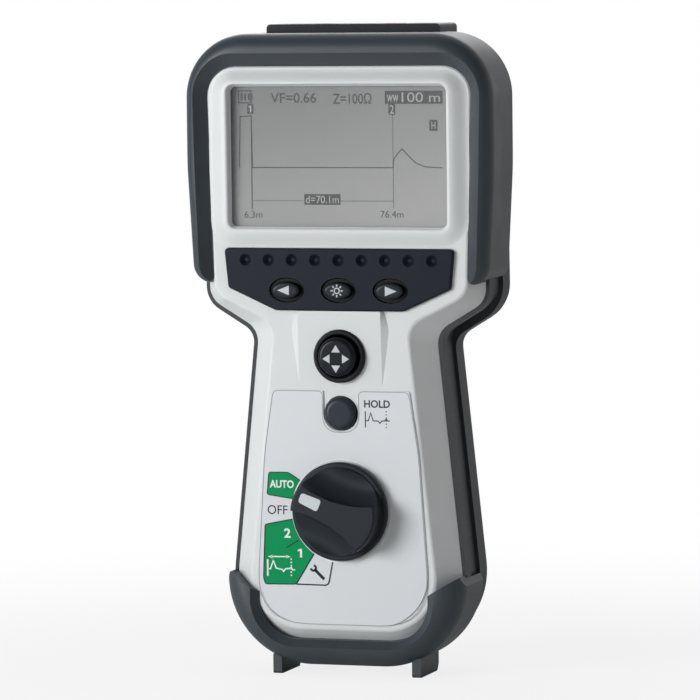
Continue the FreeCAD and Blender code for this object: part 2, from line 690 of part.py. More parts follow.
NONE = 0 * d.case_wall
screw_places = [
    (side * half, height)
    for half, height in (
        (d.head_screw_half, HEAD_TOP - d.head_screw_below),
        (d.shoulder_screw_half, KEY_HEIGHT + d.shoulder_screw_above),
        (d.foot_screw_half, d.foot_screw_height),
    )
    for side in (-1, 1)
]
key_places = {"key_left": -d.key_pitch, "key_backlight": NONE, "key_right": d.key_pitch}


def view_corners(grow, radius):
    """Outline of the display opening, grown outwards."""
    half = d.view_half + grow
    return block_corners(-half, half, VIEW_LOW - grow, VIEW_HIGH + grow, radius)


# Outside of the display's frame beyond the opening
FRAME_OUT = d.lcd_margin + d.snug + d.frame_wall


def panel_corners(grow):
    return both_sides([
        (d.panel_top_half + grow, PANEL_TOP + grow, d.panel_round),
        (d.panel_side_half + grow, KEY_HEIGHT + d.panel_side_above - grow, d.panel_round),
        (d.panel_low_half + grow, PANEL_LOW - grow, d.panel_round),
    ])


def key_ovals(grow):
    return [(across, KEY_HEIGHT, d.key_long + grow, d.key_short + grow) for across in key_places.values()]


def make_front_case():
    case = new_body("front_case")
    shell = loft(case, [(JOINT, both_sides(joint_outline(NONE))), (FACE, both_sides(face_outline(NONE)))])
    soften(case, shell, edges_at(shell, at_depth(FACE)), d.face_round)
    wall = -d.case_wall
    loft(case, [(JOINT, both_sides(joint_outline(wall))), (INNER, both_sides(face_outline(wall)))], cut=True)
    foot, root = LABEL_TOP + d.plateau_gap, FACE + d.case_wall / 2
    side_slab(case, [
        (FACE, foot, None),
        (root, foot, None),
        (root, PANEL_LOW, None),
        (PANEL, PANEL_LOW, None),
    ], -d.plateau_half, d.plateau_half)
    half = d.view_half + d.ridge_width
    low, high = VIEW_LOW - d.ridge_band, VIEW_HIGH + d.ridge_band
    ridge = slab(case, [block_corners(-half, half, low, high, d.ridge_corner)], RIDGE, FACE)
    soften(case, ridge, edges_at(ridge, at_depth(RIDGE)), d.ridge_round)
    opening = slab(case, [view_corners(NONE, d.view_corner)], RIDGE, PANE_BACK, cut=True)
    rim = edges_at(opening, lambda point: at_depth(RIDGE)(point) and abs(point.x) < d.view_half.value + NEAR
                   and VIEW_LOW.value - NEAR < point.z < VIEW_HIGH.value + NEAR)
    soften(case, opening, rim, d.view_bevel, "Chamfer")
    seat = d.pane_margin + d.snug
    slab(case, [view_corners(seat, d.view_corner + seat)], PANE_BACK - d.pane_thick, PANE_BACK, cut=True)
    slab(case, [view_corners(FRAME_OUT + d.snug, d.frame_wall)], PANE_BACK, INNER, cut=True)
    slab(case, [panel_corners(d.snug)], PANEL, FACE + d.panel_thick, cut=True)
    oval_slab(case, key_ovals(d.slip), FACE, INNER, cut=True)
    round_slab(case, [(NONE, d.knob_height, d.bush_radius)], INNER, INNER + d.bush_length)
    round_slab(case, [(across, height, d.screw_boss_radius) for across, height in screw_places], INNER, JOINT)
    post_rows = ((d.post_half, KEY_HEIGHT + d.post_above), (d.low_post_half, HOLD_HEIGHT - d.low_post_below))
    posts = [(side * half, height, d.post_radius) for half, height in post_rows for side in (-1, 1)]
    round_slab(case, posts, INNER, KEY_BOARD)
    round_slab(case, [(NONE, NAV_HEIGHT, d.collar_radius + d.snug),
                      (NONE, HOLD_HEIGHT, d.hold_radius + d.slip)], FACE - d.collar_proud, INNER, cut=True)
    bush_bore = (NONE, d.knob_height, d.shaft_radius + d.shaft_fit)
    round_slab(case, [bush_bore], FACE, INNER + d.bush_length, cut=True)
    round_slab(case, [(across, height, d.screw_radius) for across, height in screw_places],
               JOINT - d.case_screw_bite, JOINT, cut=True)
    return case


BOSS_RADIUS = d.screw_head_radius + d.slip + d.boss_wall
SCREW_HEAD = JOINT - d.case_screw_bite + d.case_screw_length
BAY_HALF = 3 * d.cell_radius + 2 * d.cell_gap
BAY_LOW = d.cell_low - d.spring_length - d.contact_thick
BAY_HIGH = d.cell_low + 2 * d.cell_length + d.contact_thick
COVER = BACK - d.cover_thick
SEAL = COVER - d.seal_thick
LEDGE = SEAL - d.ledge_thick
COVER_TOP = BAY_HIGH + d.cover_tab
COVER_SCREW = BAY_HIGH + d.cover_tab / 2
STAND = BACK - d.stand_thick
PIN_DEPTH = BACK - d.stand_thick / 2
PIN_HALF = d.stand_half + d.bay_gap + d.pin_grip


def cover_corners(grow):
    half = BAY_HALF + d.cover_margin + grow
    return block_corners(-half, half, BAY_LOW - d.cover_margin - grow, COVER_TOP + grow, d.cover_corner)


def bay_corners(grow):
    """Outline of the tilt stand's bay, grown outwards."""
    half = d.stand_half + d.bay_gap + grow
    top = STAND_AXIS + d.stand_thick / 2 + d.bay_gap + grow
    return both_sides([(half, top, None), (half, STAND_LOW - d.bay_finger - grow, d.stand_corner)])


def make_rear_case():
    case = new_body("rear_case")
    bead_end = JOINT + d.bead_depth
    channel_end = bead_end + d.channel_width
    slab(case, [both_sides(rear_outline(NONE))], JOINT, bead_end)
    slab(case, [both_sides(rear_outline(-d.channel_inset))], bead_end, channel_end)
    shell = slab(case, [both_sides(rear_outline(NONE, d.rear_shoulder_drop))], channel_end, BACK)
    shell = soften(case, shell, edges_at(shell, at_depth(BACK)), d.back_round)
    slab(case, [both_sides(joint_outline(-d.case_wall))], JOINT, JOINT + d.rim_depth, cut=True)
    inside = -(d.case_wall + d.channel_inset)
    slab(case, [both_sides(rear_outline(inside))], JOINT + d.rim_depth, CAVITY_BACK, cut=True)
    slab(case, [cover_corners(d.case_wall)], LEDGE, CAVITY_BACK)
    slab(case, [bay_corners(d.case_wall)], STAND - d.bay_gap - d.case_wall, CAVITY_BACK)
    round_slab(case, [(across, height, BOSS_RADIUS) for across, height in screw_places], JOINT, CAVITY_BACK)
    tab_bosses = [(side * d.cover_screw_offset, COVER_SCREW, d.screw_boss_radius) for side in (-1, 1)]
    round_slab(case, tab_bosses, COVER - d.cover_screw_length - d.boss_wall, LEDGE)
    slab(case, [bay_corners(NONE)], STAND - d.bay_gap, BACK, cut=True)
    slab(case, [cover_corners(d.snug)], SEAL, BACK, cut=True)
    slab(case, [block_corners(-BAY_HALF, BAY_HALF, BAY_LOW, BAY_HIGH, None)], LEDGE, SEAL, cut=True)
    round_slab(case, [(across, height, d.screw_radius) for across, height, _ in tab_bosses],
               COVER - d.cover_screw_length, SEAL, cut=True)
    round_slab(case, [(across, height, d.screw_radius + d.snug) for across, height in screw_places],
               JOINT, SCREW_HEAD, cut=True)
    round_slab(case, [(across, height, d.screw_head_radius + d.slip) for across, height in screw_places],
               SCREW_HEAD, BACK, cut=True)
    notch = d.block_half + d.snug
    slab(case, [block_corners(-notch, notch, BLOCK_LOW, BLOCK_TOP, None)],
         d.block_front - d.snug, BACK, cut=True)
    ring = [both_sides(joint_outline(-d.gasket_inset)),
            both_sides(joint_outline(-(d.gasket_inset + d.gasket_width)))]
    slab(case, ring, JOINT, JOINT + d.gasket_deep, cut=True)
    drawn = sketch(case, "YZ_Plane", PIN_HALF)
    disc(drawn, PIN_DEPTH, STAND_AXIS, d.pin_radius)
    extrude(case, drawn, 2 * PIN_HALF, cut=True)
    gasket = new_body("case_gasket")
    slab(gasket, ring, JOINT, JOINT + d.gasket_deep)
    return case


def make_top_bumper():
    bumper = new_body("top_bumper")
    end = LIP + d.bumper_depth
    outer = both_sides([
        (d.bumper_half, BUMPER_TOP, d.bumper_corner),
        (d.bumper_half, VIEW_LOW + d.bumper_turn_above, d.bumper_side_round),
        (d.bumper_end_half, BUMPER_END, d.bumper_tip_round),
    ])
    block = slab(bumper, [outer], LIP, end)
    soften(bumper, block, edges_at(block, at_depth(LIP)), d.bumper_roll)
    slab(bumper, [both_sides(rear_outline(NONE))], JOINT, end, cut=True)
    loft(bumper, [(JOINT, both_sides(joint_outline(NONE))), (FACE, both_sides(face_outline(NONE)))], cut=True)
    flare = d.lip_flare * (d.lip_proud + d.slip) / d.lip_proud
    loft(bumper, [(FACE, both_sides(mouth_corners(NONE))),
                  (LIP - d.slip, both_sides(mouth_corners(flare)))], cut=True)
    inner, corner, low = face_outline(NONE)[1][0], d.tip_inner_round, BUMPER_END - d.snug
    slab(bumper, [both_sides([
        (inner, low + 2 * corner, None),
        (inner, low, corner),
        (d.bumper_half, low, None),
        (d.bumper_half, low - corner, None),
    ])], LIP - d.slip, JOINT + d.slip, cut=True)
    notch = d.block_half + d.snug
    slab(bumper, [block_corners(-notch, notch, BLOCK_LOW, BLOCK_TOP, None)],
         d.block_front - d.snug, end, cut=True)


def mouth_corners(grow):
    """Right-hand corners of the top bumper's mouth: the head of the face, carried down past its ends."""
    head, shoulder = face_outline(grow)[:2]
    return [head, (shoulder[0], PANEL_LOW - grow, d.panel_round)]


def make_bottom_boot():
    boot = new_body("bottom_boot")
    end = BOOT_LIP + d.boot_depth
    block = slab(boot, [both_sides([
        (d.boot_half, d.boot_top, None),
        (d.boot_half, d.boot_floor, d.boot_corner),
    ])], BOOT_LIP, end)
    front_edges = edges_at(block, at_depth(BOOT_LIP))
    top_edges = edges_at(block, lambda point: abs(point.z - d.boot_top.value) < NEAR)
    soften(boot, block, [name for name in front_edges if name not in top_edges], d.boot_roll)
    peak = d.boot_top + d.boot_proud
    reach = d.boot_ramp * (peak - d.boot_shoulder) / (d.boot_top - d.boot_shoulder)
    slab(boot, [
        [(d.boot_half, d.boot_shoulder, None), (d.boot_half + reach, peak, None),
         (d.boot_half - reach, peak, None)],
        [(-d.boot_half, d.boot_shoulder, None), (reach - d.boot_half, peak, None),
         (-reach - d.boot_half, peak, None)],
    ], BOOT_LIP, end, cut=True)
    slab(boot, [both_sides(rear_outline(NONE))], JOINT, end, cut=True)
    loft(boot, [(JOINT, both_sides(joint_outline(NONE))), (FACE, both_sides(face_outline(NONE)))], cut=True)
    slab(boot, [both_sides([
        (d.boot_half, d.boot_top + d.boot_proud, None),
        (d.boot_half, d.brow_high, None),
        (d.boot_mouth_half, d.brow_low, None),
    ])], BOOT_LIP, JOINT, cut=True)
    mouth = slab(boot, [both_sides([
        (d.boot_mouth_half, d.boot_top, d.panel_round),
        (d.boot_mouth_half, d.boot_mouth_floor, d.boot_mouth_corner),
    ])], BOOT_LIP, FACE + d.boot_mouth_deep, cut=True)
    rim = edges_at(mouth, lambda point: at_depth(BOOT_LIP)(point) and point.z < d.brow_low.value + NEAR
                   and abs(point.x) < d.boot_mouth_half.value + NEAR
                   and point.z > d.boot_mouth_floor.value - NEAR)
    soften(boot, mouth, rim, d.boot_mouth_bevel, "Chamfer")
    fin_front = BOOT_LIP + d.fin_setback
    for side in (-1, 1):
        left = side * d.fin_centre - d.fin_width / 2
        side_slab(boot, [
            (fin_front, d.fin_height, None),
            (fin_front, NONE, d.bead_round),
            (fin_front + d.fin_sole, NONE, None),
            (end, d.fin_rise, None),
            (end, d.fin_height, None),
        ], left, left + d.fin_width)


def make_display():
    pane = new_body("display_window")
    edge = d.view_corner + d.pane_margin
    slab(pane, [view_corners(d.pane_margin, edge)], PANE_BACK - d.pane_thick, PANE_BACK)
    gasket = new_body("display_gasket")
    lcd_front = PANE_BACK + d.gasket_thick
    lcd_back = lcd_front + d.lcd_thick
    light_back = lcd_back + d.backlight_thick
    slab(gasket, [view_corners(d.pane_margin, edge), view_corners(d.lcd_margin / 2, d.view_corner)],
         PANE_BACK, lcd_front)
    panel = new_body("lcd_panel")
    slab(panel, [view_corners(d.lcd_margin, None)], lcd_front, lcd_back)
    light = new_body("backlight_panel")
    slab(light, [view_corners(d.lcd_margin, None)], lcd_back, light_back)
    frame = new_body("lcd_frame")
    slab(frame, [view_corners(FRAME_OUT, d.frame_wall)], lcd_front, light_back + d.frame_wall)
    slab(frame, [view_corners(d.lcd_margin + d.snug, None)], lcd_front, light_back, cut=True)


def make_softkey_panel():
    panel = new_body("softkey_panel")
    plate = slab(panel, [panel_corners(NONE)], PANEL, FACE + d.panel_thick)
    soften(panel, plate, edges_at(plate, at_depth(PANEL)), d.panel_edge)
    oval_slab(panel, key_ovals(d.slip), PANEL, FACE + d.panel_thick, cut=True)
    middle = (d.dimple_count.value - 1) / 2
    dimples = [((i - middle) * d.dimple_pitch, KEY_HEIGHT + d.dimple_above, d.dimple_radius)
               for i in range(int(d.dimple_count.value))]
    sunk = round_slab(panel, dimples, PANEL, PANEL + d.dimple_deep, cut=True)
    row = (KEY_HEIGHT + d.dimple_above).value
    rims = edges_at(sunk, lambda point: at_depth(PANEL)(point)
                    and abs(point.z - row) < d.dimple_radius.value + NEAR)
    soften(panel, sunk, rims, d.dimple_bevel, "Chamfer")


FLANGE = INNER + d.slip
DOME = KEY_BOARD - d.dome_thick


def make_keys():
    for node, across in key_places.items():
        key = new_body(node)
        rim = PANEL + d.key_sink
        oval_slab(key, [(across, KEY_HEIGHT, d.key_long, d.key_short)], rim, FLANGE)
        cap = oval_slab(key, [(across, KEY_HEIGHT, d.key_long - d.key_moat, d.key_short - d.key_moat)],
                        PANEL - d.key_proud, rim)
        soften(key, cap, edges_at(cap, at_depth(PANEL - d.key_proud)), d.key_round)
        over = d.slip + d.flange_over
        flange = (across, KEY_HEIGHT, d.key_long + over, d.key_short + over)
        oval_slab(key, [flange], FLANGE, FLANGE + d.flange_thick)
        round_slab(key, [(across, KEY_HEIGHT, d.plunger_radius)], FLANGE, DOME - d.key_travel - d.slip)


def make_hold_button():
    button = new_body("hold_button")
    front = FACE - d.hold_proud
    end = DOME - d.hold_travel - d.slip
    flange = d.hold_radius + d.slip + d.flange_over
    turned(button, [
        (front, NONE, None),
        (end, NONE, None),
        (end, d.plunger_radius, None),
        (FLANGE + d.flange_thick, d.plunger_radius, None),
        (FLANGE + d.flange_thick, flange, None),
        (FLANGE, flange, None),
        (FLANGE, d.hold_radius, None),
        (front, d.hold_radius, d.hold_round),
    ], HOLD_HEIGHT)


PIVOT = FLANGE + d.flange_thick + d.pivot_thick


def make_cursor_pad():
    bore = d.nav_radius + d.nav_tilt_gap
    collar = new_body("nav_collar")
    drawn = front_sketch(collar, FACE - d.collar_proud)
    disc(drawn, NONE, NAV_HEIGHT, d.collar_radius)
    disc(drawn, NONE, NAV_HEIGHT, bore)
    ring = extrude(collar, drawn, INNER - FACE + d.collar_proud)
    soften(collar, ring, edges_at(ring, at_depth(FACE - d.collar_proud)), d.collar_round)
    pad = new_body("nav_pad")
    front = FACE - d.nav_proud
    skirt = INNER + d.nav_tilt_gap + d.slip
    skirt_end = skirt + d.nav_skirt_thick
    roof = PIVOT - d.pivot_thick / 2 - d.slip
    turned(pad, [
        (front, NONE, None),
        (roof, NONE, None),
        (roof, d.nav_socket, None),
        (skirt_end + d.nav_skirt_thick, d.nav_socket, None),
        (skirt_end + d.nav_skirt_thick, d.nav_radius, None),
        (skirt_end, d.nav_radius, None),
        (skirt_end, d.nav_skirt, None),
        (skirt, d.nav_skirt, None),
        (skirt, d.nav_radius, None),
        (front, d.nav_radius, d.nav_round),
    ], NAV_HEIGHT)
    start = PIVOT - d.pivot_thick / 2
    rod("nav_pivot", "y", (NONE, start, NAV_HEIGHT), d.pivot_thick, d.pivot_radius)
    foot = PIVOT + d.pivot_thick / 2 + d.slip
    rod("nav_post", "y", (NONE, foot, NAV_HEIGHT), KEY_BOARD - foot, d.plunger_radius)


def make_label_plate():
    label = new_body("label_plate")
    notch_floor = HOLD_HEIGHT - d.label_notch
    right = [
        (d.label_notch, notch_floor, d.label_notch_round),
        (d.label_notch, LABEL_TOP, d.label_round),
        (d.label_top_half, LABEL_TOP, d.label_round),
        (d.label_mid_half, d.knob_height + d.label_turn_above, d.label_side_round),
        (d.label_low_half, d.label_low, d.label_corner),
    ]
    slab(label, [both_sides(right)], FACE - d.label_thick, FACE)
    round_slab(label, [(NONE, d.knob_height, d.bush_radius)], FACE - d.label_thick, FACE, cut=True)


KNOB_BACK = FACE - d.label_thick - d.knob_lift
SHAFT_START = KNOB_BACK - d.knob_bore_deep


def stand_on_axis(piece):
    """Moves a piece made about the origin to the selector's axis, turned to its rest position."""
    piece.Placement = FreeCAD.Placement(Vector(), FreeCAD.Rotation(Vector(0, -1, 0), d.knob_rest.value))
    bind(piece, "Placement.Rotation.Angle", d.knob_rest)
    bind(piece, "Placement.Base.z", d.knob_height)


def finger_scoop(knob, side):
    """Cuts the hollow on one side of the finger bar: a circle carried round a wide arc."""
    drawn = sketch(knob, "YZ_Plane", d.scoop_waist, lift=side * (d.bar_half + d.scoop_sweep))
    disc(drawn, FRONT, side * (d.knob_scoop - d.scoop_sweep), d.knob_scoop)
    hollow = knob.newObject("PartDesign::Groove", "finger_scoop")
    hollow.Profile = drawn
    hollow.ReferenceAxis = (drawn, ["H_Axis"])
    hollow.Angle = 360.0
    doc.recompute()


def make_selector():
    knob = new_body("selector_knob")
    skirt = KNOB_BACK - d.skirt_thick
    turned(knob, [
        (FRONT, NONE, None),
        (KNOB_BACK, NONE, None),
        (KNOB_BACK, d.knob_radius, d.knob_edge),
        (skirt, d.knob_radius, d.knob_edge),
        (skirt, d.knob_body_radius, d.knob_edge / 2),
        (FRONT, d.knob_body_radius, d.knob_edge),
    ], NONE)
    for side in (-1, 1):
        finger_scoop(knob, side)
    end = d.knob_body_radius - d.pointer_inset
    half = d.pointer_width / 2
    inlay = block_corners(end - d.pointer_length, end, -half, half, d.pointer_round)
    slab(knob, [inlay], FRONT, FRONT + d.pointer_thick, cut=True)
    round_slab(knob, [(NONE, NONE, d.shaft_radius)], SHAFT_START, KNOB_BACK, cut=True)
    pointer = new_body("knob_pointer")
    slab(pointer, [inlay], FRONT, FRONT + d.pointer_thick)
    stand_on_axis(knob)
    stand_on_axis(pointer)
    length = MAIN_BOARD - d.slip - SHAFT_START
    rod("knob_shaft", "y", (NONE, SHAFT_START, d.knob_height), length, d.shaft_radius)
    clip = new_body("shaft_clip")
    clip_front = INNER + d.bush_length + d.slip
    drawn = front_sketch(clip, clip_front)
    disc(drawn, NONE, d.knob_height, d.clip_radius)
    disc(drawn, NONE, d.knob_height, d.shaft_radius)
    extrude(clip, drawn, d.clip_thick)
    switch = new_body("rotary_switch")
    drawn = front_sketch(switch, MAIN_BOARD - d.switch_thick)
    disc(drawn, NONE, d.knob_height, d.switch_radius)
    disc(drawn, NONE, d.knob_height, d.shaft_radius + d.shaft_fit)
    extrude(switch, drawn, d.switch_thick)


def make_boards():
    main = new_body("main_board")
    slab(main, [both_sides([
        (d.main_board_half, HEAD_TOP - d.main_board_below, d.panel_round),
        (d.main_board_half, KEY_HEIGHT + d.main_board_step_above, d.panel_round),
        (d.main_board_neck, KEY_HEIGHT + d.main_board_step_above, d.panel_round),
        (d.main_board_neck, d.main_board_low, d.panel_round),
    ])], MAIN_BOARD, MAIN_BOARD + d.board_thick)
    keys = new_body("key_board")
    half = d.key_board_half
    low, high = HOLD_HEIGHT - d.key_board_below, KEY_HEIGHT + d.key_board_above
    slab(keys, [block_corners(-half, half, low, high, d.panel_round)], KEY_BOARD, KEY_BOARD + d.board_thick)
    reach = d.nav_dome_reach
    places = [(across, KEY_HEIGHT) for across in key_places.values()]
    places += [(NONE, HOLD_HEIGHT), (NONE, NAV_HEIGHT + reach), (NONE, NAV_HEIGHT - reach)]
    places += [(reach, NAV_HEIGHT), (-reach, NAV_HEIGHT)]
    domes = [rod(f"dome_{i}", "y", (across, DOME, height), d.dome_thick, d.dome_radius)
             for i, (across, height) in enumerate(places)]
    grouped("dome_switches", domes)
    half = d.connector_width / 2
    middle = HOLD_HEIGHT + d.connector_above
    box("board_connector", -half, half, KEY_BOARD + d.board_thick, MAIN_BOARD,
        middle - d.connector_tall / 2, middle + d.connector_tall / 2)
    place = (d.buzzer_offset, MAIN_BOARD - d.buzzer_thick, d.buzzer_height)
    rod("buzzer", "y", place, d.buzzer_thick, d.buzzer_radius)


CELL_DEPTH = COVER - d.cell_gap - d.cell_radius
TRAY_FLOOR = CELL_DEPTH - d.cell_radius - d.cell_gap
CELL_HIGH = d.cell_low + 2 * d.cell_length


def make_battery_pack():
    tray = new_body("battery_tray")
    half = BAY_HALF + d.tray_wall
    slab(tray, [block_corners(-half, half, BAY_LOW - d.tray_wall, BAY_HIGH + d.tray_wall, d.tray_wall)],
         TRAY_FLOOR - d.tray_wall, LEDGE)
    slab(tray, [block_corners(-BAY_HALF, BAY_HALF, BAY_LOW, BAY_HIGH, None)], TRAY_FLOOR, LEDGE, cut=True)
    pitch = 2 * d.cell_radius + d.cell_gap
    cells = []
    for column in (-1, 0, 1):
        for row in (0, 1):
            start = d.cell_low + row * d.cell_length
            name = f"cell_{column + 1}_{row}"
            cells.append(rod(name, "z", (column * pitch, CELL_DEPTH, start), d.cell_length, d.cell_radius))
    grouped("battery_cells", cells)
    plates = [
        box("upper_plate", -BAY_HALF + d.cell_gap, BAY_HALF - d.cell_gap, CELL_DEPTH - d.spring_radius,
            CELL_DEPTH + d.spring_radius, CELL_HIGH, CELL_HIGH + d.contact_thick),
        box("lower_plate", -BAY_HALF + d.cell_gap, BAY_HALF - d.cell_gap, CELL_DEPTH - d.spring_radius,
            CELL_DEPTH + d.spring_radius, BAY_LOW, BAY_LOW + d.contact_thick),
    ]
    springs = [rod(f"spring_{column + 1}", "z", (column * pitch, CELL_DEPTH, BAY_LOW + d.contact_thick),
                   d.spring_length, d.spring_radius) for column in (-1, 0, 1)]
    grouped("battery_contacts", plates + springs)
    cover = new_body("battery_cover")
    slab(cover, [cover_corners(NONE)], COVER, BACK)
    holes = [(side * d.cover_screw_offset, COVER_SCREW) for side in (-1, 1)]
    round_slab(cover, [(across, height, d.screw_radius + d.snug) for across, height in holes],
               COVER, BACK, cut=True)
    round_slab(cover, [(across, height, d.screw_head_radius + d.snug) for across, height in holes],
               BACK - d.screw_head_thick, BACK, cut=True)
    seal = new_body("cover_seal")
    rim = BAY_HALF + d.seal_width + d.snug
    inner = BAY_HALF + d.snug
    edge = d.seal_width + d.snug
    slab(seal, [block_corners(-rim, rim, BAY_LOW - edge, BAY_HIGH + edge, d.seal_width),
                block_corners(-inner, inner, BAY_LOW - d.snug, BAY_HIGH + d.snug, None)], SEAL, COVER)
    shank = d.cover_screw_length - d.cover_thick + d.screw_head_thick
    screws("cover_screws", holes, BACK - d.screw_head_thick, shank)


def screws(node, places, head_front, length):
    """Screws driven from the back: a head behind one depth and a shank in front of it."""
    made = []
    for i, (across, height) in enumerate(places):
        seat = (across, head_front, height)
        tip = (across, head_front - length, height)
        head = rod(f"{node}_head_{i}", "y", seat, d.screw_head_thick, d.screw_head_radius)
        shank = rod(f"{node}_shank_{i}", "y", tip, length, d.screw_radius)
        made.append(fused(f"{node}_{i}", [head, shank]))
    grouped(node, made)


SOCKET_DEPTH = d.block_front + d.socket_setback


def make_terminals():
    block = new_body("terminal_block")
    slab(block, [block_corners(-d.block_half, d.block_half, BLOCK_LOW, BLOCK_TOP, d.block_round)],
         d.block_front, BACK - d.block_sink)
    for name, radius, deep in (("wells", d.well_radius, d.well_deep),
                               ("collar_seats", d.collar_outer + d.snug, d.socket_collar_thick)):
        drawn = sketch(block, "XY_Plane", BLOCK_TOP)
        for side in (-1, 1):
            disc(drawn, side * d.socket_offset, SOCKET_DEPTH, radius)
        sunk = block.newObject("PartDesign::Pocket", name)
        sunk.Profile = drawn
        bind(sunk, "Length", deep)
        doc.recompute()
    floor = BLOCK_TOP - d.well_deep
    tubes = []
    for node, side in (("socket_collar_black", -1), ("socket_collar_red", 1)):
        across = side * d.socket_offset
        seat = (across, SOCKET_DEPTH, floor)
        mouth = (across, SOCKET_DEPTH, BLOCK_TOP - d.socket_collar_thick)
        tube = rod(f"{node}_tube", "z", seat, d.contact_length, d.contact_radius)
        bore = rod(f"{node}_bore", "z", seat, d.contact_length, d.contact_bore)
        tubes.append(cut_from(f"{node}_contact", tube, [bore]))
        ring = rod(f"{node}_ring", "z", mouth, d.socket_collar_thick, d.collar_outer)
        hole = rod(f"{node}_hole", "z", mouth, d.socket_collar_thick, d.well_radius)
        cut_from(node, ring, [hole])
    grouped("socket_contacts", tubes)


def make_tilt_stand():
    stand = new_body("tilt_stand")
    half = d.stand_half
    slab(stand, [both_sides([
        (half, STAND_AXIS, None),
        (half, STAND_LOW, d.stand_corner),
    ])], STAND, BACK)
    drawn = sketch(stand, "YZ_Plane", -half)
    disc(drawn, PIN_DEPTH, STAND_AXIS, d.stand_thick / 2)
    barrel = stand.newObject("PartDesign::Pad", "barrel")
    barrel.Profile = drawn
    bind(barrel, "Length", 2 * half)
    doc.recompute()
    low, high = STAND_LOW + d.stand_rail, STAND_AXIS - d.stand_rail
    panel = d.stand_panel_half
    slab(stand, [block_corners(-panel, panel, low, high, d.stand_corner)],
         BACK - d.stand_panel_deep, BACK, cut=True)
    drawn = sketch(stand, "YZ_Plane", half)
    disc(drawn, PIN_DEPTH, STAND_AXIS, d.pin_radius + d.shaft_fit)
    extrude(stand, drawn, 2 * half, cut=True)
    rod("stand_pin", "x", (-PIN_HALF, PIN_DEPTH, STAND_AXIS), 2 * PIN_HALF, d.pin_radius)


NODES = [
    "front_case", "rear_case", "case_gasket", "case_screws", "top_bumper", "bottom_boot",
    "display_window", "display_gasket", "lcd_panel", "backlight_panel", "lcd_frame",
    "softkey_panel", "key_left", "key_backlight", "key_right", "hold_button",
    "nav_collar", "nav_pad", "nav_pivot", "nav_post", "label_plate",
    "selector_knob", "knob_pointer", "knob_shaft", "shaft_clip", "rotary_switch",
    "main_board", "key_board", "dome_switches", "board_connector", "buzzer",
    "battery_tray", "battery_cells", "battery_contacts", "battery_cover", "cover_seal", "cover_screws",
    "terminal_block", "socket_contacts", "socket_collar_black", "socket_collar_red",
    "tilt_stand", "stand_pin",
]

make_front_case()
make_rear_case()
screws("case_screws", screw_places, SCREW_HEAD, d.case_screw_length)
make_top_bumper()
make_bottom_boot()
make_display()
make_softkey_panel()
make_keys()
make_hold_button()
make_cursor_pad()
make_label_plate()
make_selector()
make_boards()
make_battery_pack()
make_terminals()
make_tilt_stand()
doc.recompute()

failed = [item.Name for item in doc.Objects if {"Invalid", "Error"} & set(item.State)]
shapes = {node: doc.getObjectsByLabel(node)[0].Shape for node in NODES}
for node, shape in shapes.items():
    if shape.isNull() or not shape.isValid() or not shape.Solids:
        failed.append(node)
if failed:
    raise RuntimeError(f"failed objects: {failed}")

os.makedirs("parts", exist_ok=True)
for node, shape in shapes.items():
    shape.exportStep(f"parts/{node}.step")
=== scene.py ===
# %% [markdown]
# # Dressing a hand-held cable tester
# The instrument finds faults along a pair of wires by timing an echo. Its solids come from the
# packed CAD model, which is loaded here as a fixed frame and is never moved. This script adds
# what a drawing office leaves to the print room and the paint shop: finishes, printed marks,
# a few small trims, the readout on the glass, a camera and soft light.

# %% Load the packed frame
import json

import bpy
import numpy as np
from mathutils import Matrix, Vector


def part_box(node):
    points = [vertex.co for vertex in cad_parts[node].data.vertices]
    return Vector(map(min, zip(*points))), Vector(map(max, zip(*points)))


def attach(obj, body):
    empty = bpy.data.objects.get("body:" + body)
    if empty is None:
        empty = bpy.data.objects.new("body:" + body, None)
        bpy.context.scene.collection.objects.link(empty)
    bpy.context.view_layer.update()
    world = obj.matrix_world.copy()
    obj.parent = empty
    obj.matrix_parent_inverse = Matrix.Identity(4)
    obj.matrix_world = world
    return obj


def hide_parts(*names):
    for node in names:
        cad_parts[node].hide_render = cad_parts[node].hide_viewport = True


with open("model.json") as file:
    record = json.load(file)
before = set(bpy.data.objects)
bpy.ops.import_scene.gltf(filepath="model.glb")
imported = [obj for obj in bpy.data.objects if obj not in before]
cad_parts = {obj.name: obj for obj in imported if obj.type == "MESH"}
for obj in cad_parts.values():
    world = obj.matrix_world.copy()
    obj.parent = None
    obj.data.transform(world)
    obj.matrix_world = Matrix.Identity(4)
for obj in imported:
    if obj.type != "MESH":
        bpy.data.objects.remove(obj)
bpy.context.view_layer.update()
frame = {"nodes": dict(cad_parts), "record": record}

MM = 0.001

# %% [markdown]
# ## The camera
# The photograph was taken with a long lens from a little to the right of the front, slightly
# above, and with a trace of tilt. A camera could be aimed with a Track To constraint, but its
# own matrix says the same thing in one line: three axes and a place. The columns are the
# camera's right, its up and the way back to the photographer.

# %% Camera
AZIMUTH, ELEVATION, ROLL = np.radians([18.0, 4.449, -0.648])
FOCAL_PX, FRAME_PX, SENSOR_MM = 5000.0, 700.0, 36.0
PX_PER_MM = 2.824
AIM_RIGHT, AIM_HEIGHT = -0.85, 114.8

back = np.array([np.sin(AZIMUTH) * np.cos(ELEVATION),
                 -np.cos(AZIMUTH) * np.cos(ELEVATION), np.sin(ELEVATION)])
level = np.cross(-back, [0.0, 0.0, 1.0])
level /= np.linalg.norm(level)
rise = np.cross(level, -back)
right = level * np.cos(ROLL) + rise * np.sin(ROLL)
up = rise * np.cos(ROLL) - level * np.sin(ROLL)
eye = np.array([0.0, 0.0, AIM_HEIGHT]) + AIM_RIGHT * level + back * FOCAL_PX / PX_PER_MM

